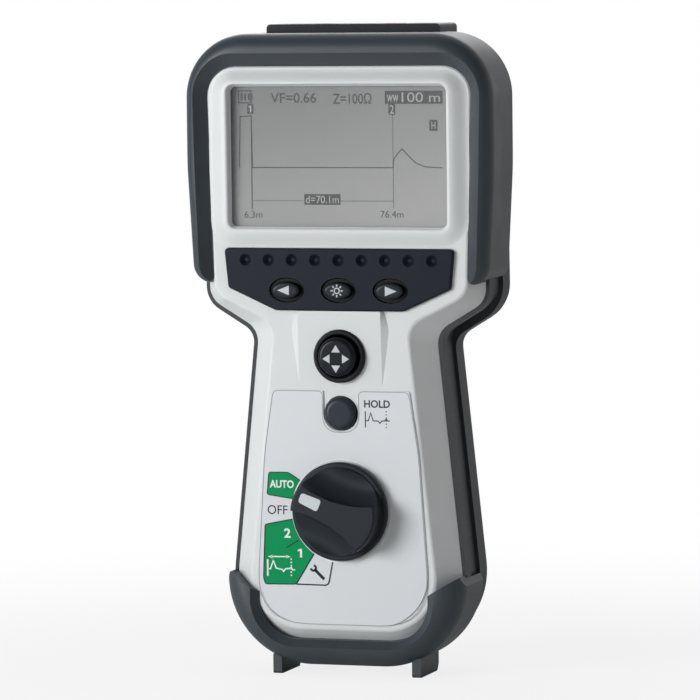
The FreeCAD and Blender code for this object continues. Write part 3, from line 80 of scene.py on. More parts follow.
camera = bpy.data.objects.new("camera", bpy.data.cameras.new("camera"))
camera.data.sensor_width = SENSOR_MM
camera.data.lens = SENSOR_MM * FOCAL_PX / FRAME_PX
camera.data.clip_end = 20.0
pose = np.eye(4)
pose[:3] = np.column_stack([right, up, back, eye * MM])
camera.matrix_world = Matrix(pose.tolist())
bpy.context.scene.collection.objects.link(camera)
bpy.context.scene.camera = camera
print("camera stands", round(float(np.linalg.norm(eye)) * MM, 2), "m away, lens",
      round(camera.data.lens, 1), "mm")

# %% [markdown]
# ## A small language for materials
# A material is a graph of nodes. The graph could be drawn by hand in the editor, but that is slow
# and hard to read again, so two small classes write it. The first is a Field: a number or colour
# that changes over a surface. Sums of Fields add the Math nodes that work them out.

# %% Fields
class Field:
    """One output socket. Arithmetic on it adds the Math nodes that work it out."""

    def __init__(self, finish, socket):
        self.finish, self.socket = finish, socket

    def math(self, operation, first, second=0.0):
        return self.finish.node("ShaderNodeMath", {"operation": operation},
                                {0: first, 1: second})

    def __add__(self, other):
        return self.math("ADD", self, other)

    def __sub__(self, other):
        return self.math("SUBTRACT", self, other)

    def __rsub__(self, other):
        return self.math("SUBTRACT", other, self)

    def __mul__(self, other):
        return self.math("MULTIPLY", self, other)

    def __gt__(self, other):
        return self.math("GREATER_THAN", self, other)

    __radd__, __rmul__ = __add__, __mul__

    def fold(self, pitch):
        """Distance to the nearest line of a set one pitch apart, as a share of half the pitch."""
        return self.math("PINGPONG", self, pitch / 2) * (2 / pitch)


print("a field has", [word for word in vars(Field) if word[0] != "_"])

# %% [markdown]
# ## Finishes
# A Finish is one material's tree. Its node() makes any node from a type, the settings that must be
# in place first, and the values or links of its sockets. The other words are short names for nodes
# that most recipes need: where a point is, noise of a size in millimetres, a mix of two colours, a
# smooth step, and height that tilts the light.

# %% Finishes
class Finish:
    """A material's node tree and the few words that its recipe is written in."""

    def __init__(self, tree):
        self.tree = tree
        tree.nodes.clear()

    def node(self, kind, settings=None, sockets=None, out=0):
        made = self.tree.nodes.new(kind)
        for name, value in (settings or {}).items():
            setattr(made, name, value)
        for name, value in (sockets or {}).items():
            if isinstance(value, Field):
                self.tree.links.new(value.socket, made.inputs[name])
            else:
                made.inputs[name].default_value = value
        return Field(self, made.outputs[out]) if len(made.outputs) else None

    def place(self, stretch=(1, 1, 1)):
        """The point on the object, in metres, with each axis stretched."""
        point = self.node("ShaderNodeTexCoord", out=3)
        return self.node("ShaderNodeVectorMath", {"operation": "MULTIPLY"},
                         {0: point, 1: stretch})

    def axis(self, letter):
        return self.node("ShaderNodeSeparateXYZ", sockets={0: self.place()},
                         out="XYZ".index(letter))

    def noise(self, size_mm, detail=2.0, stretch=(1, 1, 1)):
        """Cloudy noise whose blobs are about size_mm across, from 0 to 1."""
        return self.node("ShaderNodeTexNoise", sockets={
            "Vector": self.place(stretch), "Scale": 1 / (size_mm * MM), "Detail": detail})

    def mix(self, share, first, second):
        return self.node("ShaderNodeMix", {"data_type": "RGBA"},
                         {0: share, 6: first, 7: second}, out=2)

    def ramp(self, value, low, high):
        """A smooth step from 0 at low to 1 at high."""
        return self.node("ShaderNodeMapRange", {"interpolation_type": "SMOOTHSTEP"},
                         {"Value": value, "From Min": low, "From Max": high})

    def bump(self, height, depth_mm, strength=1.0):
        return self.node("ShaderNodeBump", sockets={
            "Height": height, "Distance": depth_mm * MM, "Strength": strength})

    def surface(self, **sockets):
        """The Principled shader and the output that it feeds."""
        named = {name.replace("_", " "): value for name, value in sockets.items()}
        shader = self.node("ShaderNodeBsdfPrincipled", sockets=named)
        self.node("ShaderNodeOutputMaterial", sockets={"Surface": shader})


print("a finish has", [word for word in vars(Finish) if word[0] != "_"])

# %% [markdown]
# ## Colours
# A paint chart gives colours as six hex digits, which are codes for a screen. Shaders add and
# multiply light itself, so each code is turned into linear light first. A colour picker would do
# the same by hand.

# %% Materials and colours
def material(name):
    """A new material and the Finish that writes its tree."""
    made = bpy.data.materials.new(name)
    made.use_nodes = True
    return made, Finish(made.node_tree)


def colour(code):
    """A colour written as six hex digits, turned into the linear light that shaders work in."""
    srgb = np.array([int(code[i:i + 2], 16) / 255 for i in (0, 2, 4)])
    linear = np.where(srgb <= 0.04045, srgb / 12.92, ((srgb + 0.055) / 1.055) ** 2.4)
    return (*linear.tolist(), 1.0)


def shade(code, factor):
    """The same colour with its light scaled."""
    return (*(min(1.0, c * factor) for c in colour(code)[:3]), 1.0)


print("a mid grey, 808080, holds", round(colour("808080")[0], 3), "of the light")

# %% [markdown]
# ## The stage
# A studio sheet is a pale floor that sweeps up out of sight. A curved backdrop would work, but a
# flat floor with a white world behind it is simpler, and its edge can't be seen against the
# world. The camera sees the floor mostly as plain white. Near the instrument a share of true
# shading is kept, so its shadow still falls there, and the share fades out with distance.

# %% Floor
FLOOR_HALF = 6.0
SHADOW_SHARE = 0.18
SHADOW_NEAR, SHADOW_FAR = 0.08, 0.42

corners = np.array([[-1, -1, 0], [1, -1, 0], [1, 1, 0], [-1, 1, 0]]) * FLOOR_HALF
floor_mesh = bpy.data.meshes.new("floor")
floor_mesh.from_pydata(corners.tolist(), [], [(0, 1, 2, 3)])
floor = bpy.data.objects.new("floor", floor_mesh)
bpy.context.scene.collection.objects.link(floor)


def seen_directly(finish):
    """1 for rays from the camera, straight or through glass, else 0."""
    paths = [finish.node("ShaderNodeLightPath", out=name)
             for name in ("Is Camera Ray", "Is Transmission Ray")]
    return (paths[0] + paths[1]) > 0.5


floor_paint, paint = material("studio_floor")
mottle = paint.noise(180.0)
sheet = paint.node("ShaderNodeBsdfDiffuse", sockets={
    "Color": paint.mix(mottle, colour("EDEDEC"), colour("F4F4F3"))})
white = paint.node("ShaderNodeEmission", sockets={"Strength": 1.0})
distance = paint.node("ShaderNodeVectorMath", {"operation": "LENGTH"}, {0: paint.place()}, out=1)
shading = SHADOW_SHARE * (1 - paint.ramp(distance, SHADOW_NEAR, SHADOW_FAR))
floor_look = paint.node("ShaderNodeMixShader", sockets={
    0: seen_directly(paint) * (1 - shading), 1: sheet, 2: white})
paint.node("ShaderNodeOutputMaterial", sockets={"Surface": floor_look})
floor_mesh.materials.append(floor_paint)
print("near the object the floor keeps", SHADOW_SHARE, "of its shading")

# %% [markdown]
# ## The world
# The room is white where the camera looks at it, and lights the instrument only weakly. A white
# sheet hangs behind the instrument, so only mirrored rays that head to the back meet it: dark edges
# pick up a pale rim from it. The room in front is dim in mirrored light, and adds no haze to dark
# plastic. A lit picture of a real room could be used, but this needs no file.

# %% World
WORLD_LIGHT = 0.24
FRONT_DIM = 0.85
SHEET_GLOW, SHEET_FULL_AT = 0.65, 0.7
world = bpy.data.worlds.new("studio")
world.use_nodes = True
bpy.context.scene.world = world
sky = Finish(world.node_tree)
direct = seen_directly(sky)
mirrored = sky.node("ShaderNodeLightPath", out="Is Glossy Ray")
heading = sky.node("ShaderNodeTexCoord", out="Generated")
away = sky.node("ShaderNodeSeparateXYZ", sockets={0: heading}, out=1)
sheet_seen = SHEET_GLOW * sky.ramp(away, 0.0, SHEET_FULL_AT)
ambient = WORLD_LIGHT + mirrored * (sheet_seen - FRONT_DIM * WORLD_LIGHT)
backdrop = sky.node("ShaderNodeBackground", sockets={
    "Color": (1.0, 1.0, 1.0, 1.0),
    "Strength": ambient + direct * (1 - WORLD_LIGHT)})
sky.node("ShaderNodeOutputWorld", sockets={"Surface": backdrop})
bpy.context.scene.view_settings.view_transform = "Standard"
print("world light", WORLD_LIGHT, "and a sheet of", SHEET_GLOW, "behind")

# %% [markdown]
# ## The lights
# The left bumper and the left of the white face are brightest and the right-hand slopes fall
# off to grey, so the main light is a large soft box in front and to the left. A point lamp
# would give hard shadows that the photograph doesn't have. A weak fill stands level with the
# right side, where it reaches only what is turned that way. Two more boxes, above and behind, draw
# the top edges out of the dark and show the back when the instrument is turned round.

# %% Soft boxes
def soft_box(name, place, aim, size, power):
    """A square area lamp at a place in metres, turned to face the aim point."""
    lamp = bpy.data.lights.new(name, "AREA")
    lamp.size, lamp.energy = size, power
    holder = bpy.data.objects.new(name, lamp)
    away = np.subtract(place, aim)
    away = away / np.linalg.norm(away)
    side = np.cross([0.0, 0.0, 1.0], away)
    side /= np.linalg.norm(side)
    turn = np.eye(4)
    turn[:3] = np.column_stack([side, np.cross(away, side), away, place])
    holder.matrix_world = Matrix(turn.tolist())
    bpy.context.scene.collection.objects.link(holder)


MIDDLE = (0.0, 0.0, 0.115)
SOFT_BOXES = {
    "key_light": ((-1.2, -1.4, 0.36), 0.9, 29.0),
    "fill_light": ((1.6, 0.1, 0.5), 1.2, 0.9),
    "top_light": ((-0.3, 0.5, 1.7), 1.0, 1.8),
    "rear_light": ((-0.5, 1.7, 0.9), 1.2, 8.0),
}
for name, (place, size, power) in SOFT_BOXES.items():
    soft_box(name, place, MIDDLE, size, power)
print(len(SOFT_BOXES), "soft boxes lit")

# %% [markdown]
# ## Moulded plastics
# The white face, the dark back, the knobs and the sockets are injection mouldings. The steel
# tool is spark-eroded, which leaves a skin of tiny pits on every part. A photograph of real
# plastic could be wrapped on, but noise in the object's own coordinates costs nothing and has
# no seams. Two sizes of noise make the pits, and a third, much larger, makes the colour and the
# gloss drift a little. Dark mouldings are filled with soot, and reflect less than clear resin.

# %% Moulded plastic
def moulded(name, code, gloss, pit_mm=0.35, pit_depth=0.006, drift=0.05, sheen=0.5):
    """Pitted skin: height = fine noise + half of noise three times coarser. Colour and
    roughness follow noise some 25 mm across."""
    made, finish = material(name)
    pits = finish.noise(pit_mm, 3.0) + 0.5 * finish.noise(pit_mm * 3)
    cloud = finish.noise(25.0, 4.0)
    finish.surface(
        Base_Color=finish.mix(cloud, shade(code, 1 - drift), shade(code, 1 + drift)),
        Roughness=gloss + 0.08 * (cloud - 0.5) + 0.10 * (pits - 0.75),
        Specular_IOR_Level=sheen, Normal=finish.bump(pits, pit_depth))
    return made


finishes = {
    "white_case": moulded("white_case", "DDE0E1", 0.46, drift=0.02),
    "dark_case": moulded("dark_case", "33373B", 0.50, pit_mm=0.5, pit_depth=0.012, sheen=0.4),
    "knob_black": moulded("knob_black", "262B31", 0.40, pit_depth=0.004, drift=0.08, sheen=0.2),
    "panel_dark": moulded("panel_dark", "171D29", 0.38, pit_mm=0.25, pit_depth=0.003, sheen=0.16),
    "socket_red": moulded("socket_red", "B8221F", 0.32, pit_depth=0.003),
    "pointer_white": moulded("pointer_white", "CAD2D7", 0.45, pit_depth=0.003, drift=0.02),
}
print(len(finishes), "moulded finishes")

# %% [markdown]
# ## Rubbers
# The bumpers are a soft rubber moulded over the corners, and the seals and keys are silicone.
# Rubber has a wide, weak sheen in place of a sharp highlight, and handling polishes it in
# patches. The stipple is coarser than on the plastic. A worn share, from large noise, drops the
# roughness where hands would rub.

# %% Rubber
def stippled(finish, coarse_mm, fine_mm):
    """Height of a stippled skin: noise of a coarse size + 0.4 of noise of a fine size."""
    return finish.noise(coarse_mm, 2.0) + 0.4 * finish.noise(fine_mm)


def rubber(name, code, gloss, rub=0.12, sheen=0.25):
    """Stippled skin whose roughness falls, and whose colour pales, where a broad noise is high."""
    made, finish = material(name)
    stipple = stippled(finish, 0.6, 0.2)
    rubbed = finish.ramp(finish.noise(30.0, 3.0), 0.45, 0.7)
    finish.surface(
        Base_Color=finish.mix(rubbed, shade(code, 0.93), shade(code, 1.08)),
        Roughness=gloss - rub * rubbed + 0.12 * (stipple - 0.7),
        Specular_IOR_Level=sheen, Normal=finish.bump(stipple, 0.02))
    return made


finishes["bumper_rubber"] = rubber("bumper_rubber", "394147", 0.44, rub=0.08, sheen=0.55)
finishes["seal_rubber"] = rubber("seal_rubber", "2B2C2E", 0.75)
print("rubbers:", [name for name in finishes if "rubber" in name])

# %% [markdown]
# ## Keys with painted shade down their sides
# The faces of the keys keep their own soft grey, and their sides are painted near black: painted
# shade for the gap between each key and the hole it stands in. The shade could be painted by hand,
# but it follows depth: a smooth step, from a key's own front down into the gap, mixes the two
# colours and dulls the gloss.

# %% Keys with painted side shade
# The near-black colour down the keys' sides is painted shade of the gaps round them.
PAINTED_SIDE_SHADE = "0A0C0E"
SOFT_KEY = ("272D34", 0.2, 0.9)
KEY_SIDE_SHADE = {"key_left": SOFT_KEY, "key_backlight": SOFT_KEY, "key_right": SOFT_KEY,
            "nav_pad": ("171C22", 0.3, 1.6), "hold_button": ("30373F", 0.4, 2.2)}


def shade_painted_key(node, code, shallow, deep):
    """Rubber whose colour steps from the key's face colour to painted shade, near black, on its
    side, and whose roughness rises, between two depths, in mm behind the key's front."""
    made, finish = material("worn_" + node)
    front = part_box(node)[0][1]
    # side: the share of painted shade, 0 on the key's face and 1 down its side.
    side = finish.ramp(finish.axis("Y"), front + shallow * MM, front + deep * MM)
    stipple = stippled(finish, 0.4, 0.13)
    finish.surface(Base_Color=finish.mix(side, colour(code), colour(PAINTED_SIDE_SHADE)),
                   Roughness=0.30 + 0.15 * side + 0.12 * (stipple - 0.7),
                   Specular_IOR_Level=0.2, Normal=finish.bump(stipple, 0.004))
    return made


own_looks = {node: shade_painted_key(node, *wear) for node, wear in KEY_SIDE_SHADE.items()}
print(len(own_looks), "keys worn")

# %% [markdown]
# ## The display
# A liquid crystal sits behind a clear pane. Its own glass is a lattice of dots a third of a
# millimetre apart, and with the lamp off it looks pewter grey. Painted shade makes it darker
# towards the top left and paler towards the bottom right.
# The lattice could be a mesh of squares, but two folded coordinates draw it with no geometry: each
# gives the distance to the nearest line between dots. The pane in front is nearly clear, with faint
# smears in its gloss, and the light guide behind has a grid of printed dots.

# %% Liquid crystal, pane and light guide
DOT_PITCH = 0.36


def dot_gaps(finish):
    """1 on the thin lines between the display's dots, 0 on the dots."""
    folds = [finish.axis(letter).fold(DOT_PITCH * MM) for letter in "XZ"]
    return finish.ramp(folds[0], 0.8, 1.0) + finish.ramp(folds[1], 0.8, 1.0)


low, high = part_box("lcd_panel")
made, crystal = material("display_grey")
height = crystal.ramp(crystal.axis("Z"), low[2], high[2])
across = crystal.ramp(crystal.axis("X"), low[0], high[0])
# Painted shade: the grey darkens towards the top left and pales towards the bottom right.
painted_shade_wash = crystal.mix(0.6 * height + 0.4 * (1 - across), colour("A6A6A4"), colour("656564"))
gaps = dot_gaps(crystal)
crystal.surface(Base_Color=crystal.mix(gaps * 0.10, painted_shade_wash, colour("5E605F")),
                Roughness=0.34 + 0.06 * crystal.noise(9.0),
                Normal=crystal.bump(gaps, 0.004))
finishes["display_grey"] = made

made, pane = material("window_clear")
smear = pane.noise(14.0, 5.0)
pane.surface(Base_Color=colour("E8ECEE"), Roughness=0.08 + 0.10 * smear,
             Alpha=0.07 + 0.03 * smear, Normal=pane.bump(pane.noise(40.0), 0.01))
finishes["window_clear"] = made

made, guide = material("light_guide")
dots = guide.ramp(guide.axis("X").fold(0.9 * MM) + guide.axis("Z").fold(0.9 * MM), 0.35, 0.55)
guide.surface(Base_Color=guide.mix(dots, colour("FAFAF6"), colour("E2E4DE")),
              Roughness=0.25 + 0.2 * dots, Normal=guide.bump(dots, 0.02))
finishes["light_guide"] = made
print("display dots:", round((high[0] - low[0]) / MM / DOT_PITCH), "x",
      round((high[2] - low[2]) / MM / DOT_PITCH))

# %% [markdown]
# ## The label and its inks
# The control panel is a polycarbonate film, printed on its back and lightly grained on its
# face. Its marks are screen-printed inks. They could be painted into one picture, but as
# thin pieces of their own they stay sharp at any size. An ink's coat is never quite even, so
# each gets a fine mottle and the faint weave of the screen.

# %% Film and inks
SCREEN_PITCH = 0.18


def ink(name, code, gloss=0.45):
    """Screen ink: colour from a mottle, height from the screen's crossed threads."""
    made, finish = material(name)
    mottle = finish.noise(0.7, 4.0)
    weave = finish.axis("X").fold(SCREEN_PITCH * MM) + finish.axis("Z").fold(SCREEN_PITCH * MM)
    finish.surface(Base_Color=finish.mix(mottle, shade(code, 0.94), shade(code, 1.06)),
                   Roughness=gloss + 0.10 * (mottle - 0.5), Specular_IOR_Level=0.1,
                   Normal=finish.bump(weave + mottle, 0.003))
    return made


green_ink = ink("green_ink", "009458")
white_ink = ink("white_ink", "F0F2F2")
dark_ink = ink("dark_ink", "30353B")
icon_ink = ink("icon_ink", "CDD1D4")
readout_ink = ink("readout_ink", "242628", 0.36)
# Grey ink for the line round the label: painted shade of the gap at its edge.
label_gap_shade_ink = ink("label_gap_shade_ink", "8E9496")
finishes["label_print"] = moulded("label_print", "DBDFE3", 0.40, pit_mm=0.2, pit_depth=0.003,
                                  drift=0.015)
print("six inks mixed")

# %% [markdown]
# ## Metals
# Screws, shaft and springs are turned steel: the tool leaves fine rings, which show as streaks of
# gloss. The sockets' contacts are brass. A shader that stretches its highlight could hint at the
# rings, but noise stretched one way shows each streak from any side.

# %% Metals
def metal(name, code, gloss, streak):
    """Drawn or turned metal: roughness and height follow noise that is stretched one way."""
    made, finish = material(name)
    lines = finish.noise(0.5, 3.0, streak)
    stain = finish.noise(8.0, 4.0)
    finish.surface(
        Base_Color=finish.mix(stain, shade(code, 0.9), shade(code, 1.08)), Metallic=1.0,
        Roughness=gloss + 0.16 * (lines - 0.5) + 0.06 * stain,
        Normal=finish.bump(lines, 0.004))
    return made


finishes["screw_steel"] = metal("screw_steel", "C3C5C8", 0.30, (1.0, 0.15, 1.0))
finishes["contact_brass"] = metal("contact_brass", "D9BA76", 0.24, (1.0, 1.0, 0.15))
print("metals:", "steel and brass")

# %% [markdown]
# ## Boards and cells
# The boards are glass-filled epoxy under green lacquer, with copper tracks that show as slightly
# raised, brighter lines. Tracks could be drawn one by one, but a folded coordinate gives them all,
# and blocks of a cell pattern turn them one way or the other. The cells wear a printed sleeve with
# a band at the top. All of these are hidden, and are finished because the case can be opened.

# %% Boards and cells
TRACK_PITCH = 1.27

made, board = material("board_green")
block = board.node("ShaderNodeTexVoronoi", {"distance": "CHEBYCHEV"}, {
    "Vector": board.place((1, 0, 1)), "Scale": 1 / (9 * MM), "Randomness": 0.7}, out=1)
turned = board.node("ShaderNodeSeparateColor", sockets={0: block}) > 0.5
lanes = [board.ramp(board.axis(letter).fold(TRACK_PITCH * MM), 0.55, 0.65) for letter in "XZ"]
tracks = lanes[0] * turned + lanes[1] * (1 - turned)
board.surface(Base_Color=board.mix(tracks, colour("1B6B42"), colour("2F8F5A")),
              Roughness=0.30 + 0.1 * board.noise(3.0), Coat_Weight=0.2,
              Normal=board.bump(tracks, 0.03))
finishes["board_green"] = made

made, wrap = material("cell_wrap")
cell_low, cell_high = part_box("battery_cells")
band = wrap.axis("Z") > (cell_low[2] + 0.72 * (cell_high[2] - cell_low[2]))
film = wrap.noise(6.0, 3.0)
wrap.surface(Base_Color=wrap.mix(band, colour("34383C"), colour("B98B4C")),
             Roughness=0.22 + 0.12 * film, Normal=wrap.bump(film, 0.02))
finishes["cell_wrap"] = made
print("finishes ready:", len(finishes))

# %% [markdown]
# ## Finishes onto the solids
# The packed record says which finish slot each solid belongs to. Assigning by slot keeps the
# script short, and a solid that is added later gets its finish with no new line. The keys have
# their own painted side shade, and the collar round the cursor pad is painted near black as the
# shade of the deep well it stands in, so these come from a table of their own first.

# %% Assign by slot
# Near black for the collar round the cursor pad: painted shade of its deep well, darker than the
# knob's black.
painted_shade_black = moulded("painted_shade_black", "15181B", 0.40, pit_depth=0.004, sheen=0.2)
own_looks["nav_collar"] = painted_shade_black
for part in frame["record"]["subparts"]:
    shell = frame["nodes"][part["node"]].data
    shell.materials.clear()
    shell.materials.append(own_looks.get(part["node"]) or finishes[part["material_slot"]])
print(len(frame["nodes"]), "solids finished")

# %% [markdown]
# ## Grids and outlines
# A printed mark is a thin layer of ink with a front and a wall down to what it is printed on. Each
# is worked out as arrays of points, a few rows of a grid, and never point by point. Outlines are
# drawn flat, across and upward, and stood up at a depth afterwards.

# %% Grids and outlines
INK_COAT = 0.05
SINK = 0.02
MOST_OF_SIDE = 0.45


def grid_faces(rows, columns):
    """Four-cornered faces of a grid whose columns close into a ring: each joins a point, the
    next one round, and the same two on the next row."""
    index = np.arange(rows * columns).reshape(rows, columns)
    turned = np.roll(index, -1, axis=1)
    return np.stack([index[:-1], turned[:-1], turned[1:], index[1:]], -1).reshape(-1, 4)


def stood_up(flat, depth):
    """Points given across and upward, set at a depth in front: (x, z) becomes (x, depth, z)."""
    flat = np.asarray(flat, float)
    return np.stack([flat[..., 0], np.broadcast_to(depth, flat.shape[:-1]), flat[..., 1]], -1)


def rounded(outline, radius, steps=5):
    """Each corner replaced by a curve that leaves one side at the radius from the corner and
    meets the other at the same distance: (1-t)^2 A + 2t(1-t) P + t^2 B."""
    corner = np.asarray(outline, float)
    before, after = np.roll(corner, 1, 0) - corner, np.roll(corner, -1, 0) - corner
    reach = [np.linalg.norm(side, axis=1, keepdims=True) for side in (before, after)]
    start = corner + before / reach[0] * np.minimum(radius, reach[0] * MOST_OF_SIDE)
    end = corner + after / reach[1] * np.minimum(radius, reach[1] * MOST_OF_SIDE)
    t = np.linspace(0, 1, steps)[None, :, None]
    bent = ((1 - t) ** 2 * start[:, None] + 2 * t * (1 - t) * corner[:, None]
            + t ** 2 * end[:, None])
    return bent.reshape(-1, 2)


square = [(0, 0), (1, 0), (1, 1), (0, 1)]
print("a square with round corners has", len(rounded(square, 0.2)), "points")

# %% [markdown]
# ## Plates
# A filled mark is a plate: a polar grid, from the centre of the front, out to the edge, back, and
# in to the centre of the rear. A flat curve with a thickness would look the same, but the grid is
# closed at once and needs no conversion.

# %% Plates
HUB_SHARE = 0.02


def plate(outline, depth, coat=INK_COAT):
    """An outline, anticlockwise from the front, filled from its middle: rows run from the front's
    middle to the front edge, the rear edge and the rear's middle."""
    edge = np.asarray(outline, float)
    middle = np.broadcast_to(edge.mean(0), edge.shape)
    hub = middle + (edge - middle) * HUB_SHARE
    rows = [stood_up(hub, depth - coat), stood_up(edge, depth - coat),
            stood_up(edge, depth + SINK), stood_up(hub, depth + SINK)]
    points = np.concatenate(rows)
    count = len(edge)
    faces = grid_faces(4, count)[:, ::-1].tolist()
    return points, faces + [list(range(count)), list(range(4 * count - 1, 3 * count - 1, -1))]


def bar(left, low, right, high):
    """A box's four corners, anticlockwise from the front."""
    return np.array([[left, low], [right, low], [right, high], [left, high]])


def dotted(start, end, count, size, depth):
    """Small square dots set evenly from one point to another, each a plate of its own."""
    share = np.linspace(0, 1, count)[:, None]
    spots = np.asarray(start) + share * np.subtract(end, start)
    return [plate(bar(x - size / 2, z - size / 2, x + size / 2, z + size / 2), depth)
            for x, z in spots.tolist()]


print("a bar's plate has", len(plate(bar(0, 0, 1, 1), 0)[1]), "faces")

# %% [markdown]
# ## Strokes
# A drawn line is a stroke: a small rectangle carried along a path. A curve with a bevel would round
# its edges and swell at the corners, and here the sides stay parallel.

# %% Strokes
def stroke(path, width, depth, coat=INK_COAT, closed=False):
    """A rectangle carried along a path: at each point it lies across the mean of the two
    directions that meet there, widened so that the sides stay parallel."""
    line = np.asarray(path, float)
    step = np.roll(line, -1, 0) - line
    if not closed:
        step[-1] = step[-2]
    step /= np.linalg.norm(step, axis=1, keepdims=True)
    came = np.roll(step, 1, 0)
    if not closed:
        came[0] = step[0]
    across = np.stack([-(step + came)[:, 1], (step + came)[:, 0]], -1)
    across /= np.linalg.norm(across, axis=1, keepdims=True)
    flat_across = np.stack([-step[:, 1], step[:, 0]], -1)
    spread = np.clip(1 / np.sum(across * flat_across, axis=1, keepdims=True), 1, 2)
    half = across * spread * width / 2
    profile = [stood_up(line + half, depth - coat), stood_up(line - half, depth - coat),
               stood_up(line - half, depth + SINK), stood_up(line + half, depth + SINK)]
    points = np.stack(profile, 1)
    if closed:
        points = np.concatenate([points, points[:1]])
    count = len(points)
    faces = grid_faces(count, 4).tolist()
    ends = [] if closed else [[3, 2, 1, 0], [4 * count - 4 + i for i in range(4)]]
    return points.reshape(-1, 3), faces + ends


def arc(centre, radius, first, last, count):
    """Points round a centre from one angle to another, in degrees anticlockwise from right."""
    angle = np.radians(np.linspace(first, last, count))
    return np.asarray(centre) + radius * np.stack([np.cos(angle), np.sin(angle)], -1)


print("a stroke of two points has", len(stroke([(0, 0), (1, 0)], 0.1, 0)[1]), "faces")

# %% [markdown]
# ## Letters
# Printers set words in type. Blender's own font gives the shapes, made a mesh and then stretched to
# fill the box that the word takes up. Strokes could draw letters too, but type has even weight.

# %% Letters
def lettering(text, box, depth, weight=0.0, coat=INK_COAT):
    """Text made a mesh, its strokes thickened by a weight, then stretched to fill a box of left,
    low, right and high: its own across becomes x, its upward z and its thickness runs to the
    front."""
    curve = bpy.data.curves.new("letters", "FONT")
    curve.body, curve.resolution_u, curve.extrude = text, 4, 1.0
    curve.offset = weight
    holder = bpy.data.objects.new("letters", curve)
    bpy.context.scene.collection.objects.link(holder)
    view = bpy.context.evaluated_depsgraph_get()
    mesh = bpy.data.meshes.new_from_object(holder.evaluated_get(view))
    points = np.empty(len(mesh.vertices) * 3)
    mesh.vertices.foreach_get("co", points)
    points = points.reshape(-1, 3)
    faces = [list(face.vertices) for face in mesh.polygons]
    bpy.data.objects.remove(holder)
    bpy.data.meshes.remove(mesh)
    share = (points - points.min(0)) / np.ptp(points, axis=0)
    left, low, right, high = box
    return np.stack([left + share[:, 0] * (right - left),
                     depth + SINK - share[:, 2] * (coat + SINK),
                     low + share[:, 1] * (high - low)], -1), faces


print("a word of three letters has", len(lettering("OFF", (0, 0, 3, 1), 0)[1]), "faces")

# %% [markdown]
# ## Joining shapes into pieces
# What is printed or fitted in one go is one piece, and it moves with the body that carries it. The
# shapes could be separate objects joined by an operator, but stacking their arrays is one step:
# each shape's faces are counted on from the points before it.

# %% Pieces
def piece(name, shapes, look, body):
    """Joins shapes, given in mm, into one object at the origin that rides on a body."""
    points = np.concatenate([shape[0] for shape in shapes]) * MM
    starts = np.cumsum([0] + [len(shape[0]) for shape in shapes])
    faces = [np.add(face, start).tolist()
             for start, shape in zip(starts.tolist(), shapes) for face in shape[1]]
    mesh = bpy.data.meshes.new(name)
    mesh.from_pydata(points.tolist(), [], faces)
    mesh.materials.append(look)
    holder = bpy.data.objects.new(name, mesh)
    bpy.context.scene.collection.objects.link(holder)
    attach(holder, body)
    print(name, "has", len(faces), "faces")
    return holder


# %% [markdown]
# ## The sloping surround of the display
# The white face is highest at the edge of the display and falls away in an S-curve to the
# bumper. The slope could be cut into the case, but a ring laid on the flat face gives the same
# surface. It is a profile carried round a path: both the inner and the outer edge are boxes with
# round corners, drawn with as many points each, and the profile runs from one to the other.

# %% Display surround
CORNER_STEPS, PROFILE_STEPS = 13, 21
INNER_EDGE = {"half": 40.1, "low": 158.7, "high": 208.9, "radius": 2.4}
OUTER_EDGE = {"half": 47.9, "low": 152.3, "high": 214.9, "radius": 9.6}
CREST, CREST_BELOW, CREST_AT = 2.8, 1.9, 0.12
CREST_FROM, CREST_OVER = 159.0, 8.0
LIP_DROP = 0.45
BED_DEPTH = 0.3
SHARP_ANGLE = np.radians(40)


def box_path(half, low, high, radius):
    """A box with round corners, anticlockwise from the front: a quarter circle at each corner,
    and the straight sides are the gaps between them."""
    quarter = np.radians(np.linspace(0, 90, CORNER_STEPS))
    turn = quarter[None, :] + np.radians([-90, 0, 90, 180])[:, None]
    middles = np.array([[half - radius, low + radius], [half - radius, high - radius],
                        [radius - half, high - radius], [radius - half, low + radius]])
    ring = middles[:, None] + radius * np.stack([np.cos(turn), np.sin(turn)], -1)
    return ring.reshape(-1, 2)


def ring_solid(rows):
    """A closed ring from rows of points that run all the way round: the last row joins the
    first again, so the section is closed too."""
    count, columns = len(rows), rows.shape[1]
    faces = grid_faces(count + 1, columns)[:, ::-1] % (count * columns)
    return rows.reshape(-1, 3), faces.tolist()


def surround_fall(share):
    """How far the profile is below its crest, from 0 to 1: a short curl up from the display's
    edge to the crest, then the S-curve 3d^2 - 2d^3 down to the outer edge."""
    curl = LIP_DROP * np.clip(1 - share / CREST_AT, 0, 1) ** 2
    down = np.clip((share - CREST_AT) / (1 - CREST_AT), 0, 1)
    return curl + down ** 2 * (3 - 2 * down)


white_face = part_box("label_plate")[1][1] / MM
inner, outer = box_path(**INNER_EDGE), box_path(**OUTER_EDGE)
share = np.linspace(0, 1, PROFILE_STEPS)[:, None]
lift = np.clip((inner[:, 1] - CREST_FROM) / CREST_OVER, 0, 1)
crest = CREST_BELOW + (CREST - CREST_BELOW) * lift
front = stood_up(inner + share[..., None] * (outer - inner),
                 white_face - crest * (1 - surround_fall(share)) + SINK)
rear = stood_up(np.stack([outer, inner]), white_face + BED_DEPTH)
surround = piece("display_surround", [ring_solid(np.concatenate([front, rear]))],
                 finishes["white_case"], "case")
surround.data.polygons.foreach_set("use_smooth", [True] * len(surround.data.polygons))
surround.data.set_sharp_from_angle(angle=SHARP_ANGLE)

# %% [markdown]
# ## Flanks of the raised ground
# The ground round the cursor pad rises towards the keys, and its sides lean out in two narrow
# leaves. A wedge could be cut to shape, but three rows of points give the curved foot at once. Each
# leaf is a triangle carried up the edge: its height grows evenly from the foot, and its width grows
# with it and then narrows again below the keys.

